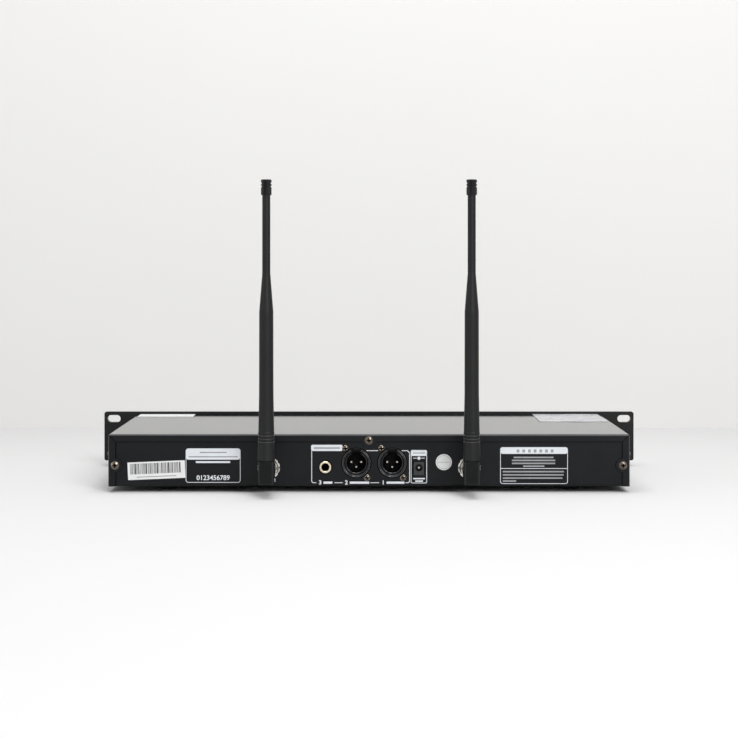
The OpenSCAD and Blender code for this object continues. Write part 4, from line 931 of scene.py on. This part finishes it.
def dial(channel, knob):
    """Marks and numbers round a knob, and the pointer on it."""
    marks = []
    for i in range(DIAL_MARKS):
        far = MARK_FAR if i % 5 else LONG_MARK_FAR
        marks.append(ray_loop(knob, 0, DIAL_START + DIAL_STEP * i, MARK_NEAR, far, MARK_WIDTH))
    printed("print_dial_" + channel, marks, **PANEL_LOOK)
    for i in range(DIAL_MARKS):
        a = math.radians(90 - DIAL_START - DIAL_STEP * i)
        u = knob + DIAL_NUMBER_R * math.cos(a)
        v = DIAL_NUMBER_R * math.sin(a)
        numeral("print_dial_" + channel + str(i), str(i), u, v, DIAL_NUMBER_SIZE, **PANEL_LOOK)
    pointer = box_loop(knob - POINTER_HALF, POINTER_NEAR, knob + POINTER_HALF, POINTER_FAR)
    printed("mark_pointer_" + channel, [pointer], FRONT, base=reach("volume_knob_" + channel) - POINTER_DEPTH,
            body="knob_" + channel, slot="control_plastic")


def display(channel, number, u):
    """Lit marks of a display: channel number, rule, plain digits, level bars and a base row."""
    numeral("lcd_channel_" + channel, number, u + CHANNEL_U, CHANNEL_V, CHANNEL_SIZE, **LIT_LOOK)
    printed("lcd_rule_" + channel, bar_row(u, DISPLAY_RULE, 1, 0.0), **LIT_LOOK)
    numeral("lcd_digits_" + channel, "0" + number, u + DIGITS_U, DIGITS_V, DIGITS_SIZE, **LIT_LOOK)
    printed("lcd_levels_" + channel, bar_row(u, LEVEL, LEVEL_COUNT, LEVEL_STEP, LEVEL_RISE), **LIT_LOOK)
    printed("lcd_base_" + channel, bar_row(u, BASE, BASE_COUNT, BASE_STEP), **LIT_LOOK)


def buttons(channel, u):
    """A ring, an up arrow and a down arrow on the three buttons of a channel."""
    ring = [round_loop(u, BUTTON_PITCH, r, SMALL_STEPS) for r in BUTTON_RING]
    up = [(u - ARROW_HALF, -ARROW_FOOT), (u + ARROW_HALF, -ARROW_FOOT), (u, ARROW_TIP)]
    down = [(u - ARROW_HALF, ARROW_FOOT - BUTTON_PITCH), (u, -ARROW_TIP - BUTTON_PITCH),
            (u + ARROW_HALF, ARROW_FOOT - BUTTON_PITCH)]
    for key, loops in (("set", ring), ("up", [up]), ("down", [down])):
        printed("mark_" + key + "_" + channel, loops, FRONT, base=reach("set_button_" + channel),
                body=key + "_button_" + channel, slot="control_plastic")


for channel, number in (("a", "1"), ("b", "2")):
    knob = centre_u("volume_knob_" + channel)
    keys = centre_u("set_button_" + channel)
    group = (knob - GROUP_LEFT, -GROUP_HALF, keys + GROUP_RIGHT, GROUP_HALF)
    group_loops = frame_loops(*group, GROUP_CORNER, GROUP_LINE)
    printed("print_group_" + channel, group_loops, finish="grey_ink", **PANEL_LOOK)
    dial(channel, knob)
    display(channel, number, knob + DISPLAY_OFFSET)
    buttons(channel, keys)

# Power button: a broken ring with a short bar in its dished face, and a ring round it on the panel
POWER_ARC_R = 1.9
POWER_ARC_OPEN = 35
POWER_LINE = 0.5
POWER_BAR = (0.4, 2.4)
POWER_DISH = 0.4
POWER_RING = (7.4, 7.05)
power = centre_u("power_button")
power_arc = arc_loop(power, 0, POWER_ARC_R, POWER_ARC_OPEN, 360 - POWER_ARC_OPEN, POWER_LINE)
power_bar = box_loop(power - POWER_LINE / 2, POWER_BAR[0], power + POWER_LINE / 2, POWER_BAR[1])
printed("mark_power", [power_arc, power_bar], FRONT, base=reach("power_button") - POWER_DISH,
        body="power_button", slot="control_plastic")
printed("print_power_ring", [round_loop(power, 0, r) for r in POWER_RING], finish="grey_ink", **PANEL_LOOK)


# Stage, light and camera

def seen_share(nodes, links):
    """1 for what the camera sees, straight or in a reflection or through glass, and 0 for soft light."""
    path = nodes.new("ShaderNodeLightPath")
    share = path.outputs["Is Camera Ray"]
    for kind in ("Is Glossy Ray", "Is Transmission Ray"):
        total = nodes.new("ShaderNodeMath")
        total.use_clamp = True
        links.new(share, total.inputs[0])
        links.new(path.outputs[kind], total.inputs[1])
        share = total.outputs[0]
    return share


def plain_stage(name, colour, bounce, verts):
    """A plain sheet, as pale as colour to the camera and in reflections.

    bounce is the share of the colour that is cast as soft light. The back of the sheet is clear,
    so that a camera behind it still sees the part.
    """
    mesh = bpy.data.meshes.new(name)
    mesh.from_pydata(verts, [], [(0, 1, 2, 3)])
    look = Graph(name)
    look.set(Roughness=0.9, Specular_IOR_Level=0.1)
    uneven = look.noise(3.0)
    dim = tuple(c * 0.99 for c in colour)
    seen = look.tones(uneven, dim, colour)
    cast = look.tones(uneven, tuple(c * bounce for c in dim), tuple(c * bounce for c in colour))
    look.feed("Base Color", look.blend(seen_share(look.nodes, look.links), cast, seen))
    facing = look.nodes.new("ShaderNodeNewGeometry")
    clear = look.nodes.new("ShaderNodeBsdfTransparent")
    either = look.nodes.new("ShaderNodeMixShader")
    look.links.new(facing.outputs["Backfacing"], either.inputs[0])
    look.links.new(look.bsdf.outputs[0], either.inputs[1])
    look.links.new(clear.outputs[0], either.inputs[2])
    look.links.new(either.outputs[0], look.nodes["Material Output"].inputs["Surface"])
    mesh.materials.append(look.mat)
    sheet = bpy.data.objects.new(name, mesh)
    scene.collection.objects.link(sheet)
    return sheet


# The table runs from the wall towards the camera, in metres
WALL_AWAY = 0.5135
WALL_HEIGHT = 3
TABLE_END_Y = 2.1
STAGE_HALF = 4
TABLE_COLOUR = (0.83, 0.83, 0.83)
TABLE_BOUNCE = 0.60
WALL_COLOUR = (0.92, 0.913, 0.895)
WALL_BOUNCE = 0.48
wall_y = REAR_FACE_Y - WALL_AWAY
plain_stage("floor", TABLE_COLOUR, TABLE_BOUNCE, [
    (-STAGE_HALF, wall_y, 0), (STAGE_HALF, wall_y, 0),
    (STAGE_HALF, TABLE_END_Y, 0), (-STAGE_HALF, TABLE_END_Y, 0)])
plain_stage("backdrop", WALL_COLOUR, WALL_BOUNCE, [
    (-STAGE_HALF, wall_y, 0), (-STAGE_HALF, wall_y, WALL_HEIGHT),
    (STAGE_HALF, wall_y, WALL_HEIGHT), (STAGE_HALF, wall_y, 0)])

# Area lamps: place, target and size in metres, power in watts
LAMPS = {
    "key": ((0.0, 0.12, 1.7), (0, 0.02, 0.0), (1.4, 1.2), 17),
    "front": ((-0.7, 1.95, 1.40), (0, 0.0, 0.1), (1.3, 1.1), 35),
    "strip": ((-0.85, 1.9, 0.55), (0, 0.1, 0.15), (0.5, 0.6), 3.5),
    "side": ((1.7, 0.7, 0.5), (0, 0.1, 0.1), (0.6, 1.0), 3.5),
}
for name, (place, target, size, watts) in LAMPS.items():
    data = bpy.data.lights.new(name, "AREA")
    data.shape = "RECTANGLE"
    data.size, data.size_y = size
    data.energy = watts
    lamp = bpy.data.objects.new(name, data)
    lamp.location = place
    lamp.rotation_euler = (Vector(target) - Vector(place)).to_track_quat("-Z", "Y").to_euler()
    scene.collection.objects.link(lamp)

# A pale room: full strength where it is seen, a lower one as soft light
ROOM_SEEN = 0.80
ROOM_CAST = 0.18
world = bpy.data.worlds.new("room")
world.use_nodes = True
tree = world.node_tree
background = tree.nodes["Background"]
background.inputs["Color"].default_value = (0.92, 0.93, 0.94, 1)
strength = tree.nodes.new("ShaderNodeMapRange")
strength.inputs["To Min"].default_value = ROOM_CAST
strength.inputs["To Max"].default_value = ROOM_SEEN
tree.links.new(seen_share(tree.nodes, tree.links), strength.inputs["Value"])
tree.links.new(strength.outputs[0], background.inputs["Strength"])
scene.world = world

# The photo's camera: picture width, lens and shift in pixels, sensor in millimetres, place in metres
PHOTO_PX = 738.0
LENS_PX = 1683.0
SHIFT_PX = -111.4
SENSOR = 36.0
CAMERA_AWAY = 1.360
CAMERA_HEIGHT = 0.190
cam_data = bpy.data.cameras.new("camera")
cam_data.sensor_width = SENSOR
cam_data.lens = SENSOR * LENS_PX / PHOTO_PX
cam_data.shift_y = SHIFT_PX / PHOTO_PX
camera = bpy.data.objects.new("camera", cam_data)
camera.location = (0.0, REAR_FACE_Y + CAMERA_AWAY, CAMERA_HEIGHT)
camera.rotation_euler = (math.pi / 2, 0.0, math.pi)
scene.collection.objects.link(camera)
scene.camera = camera
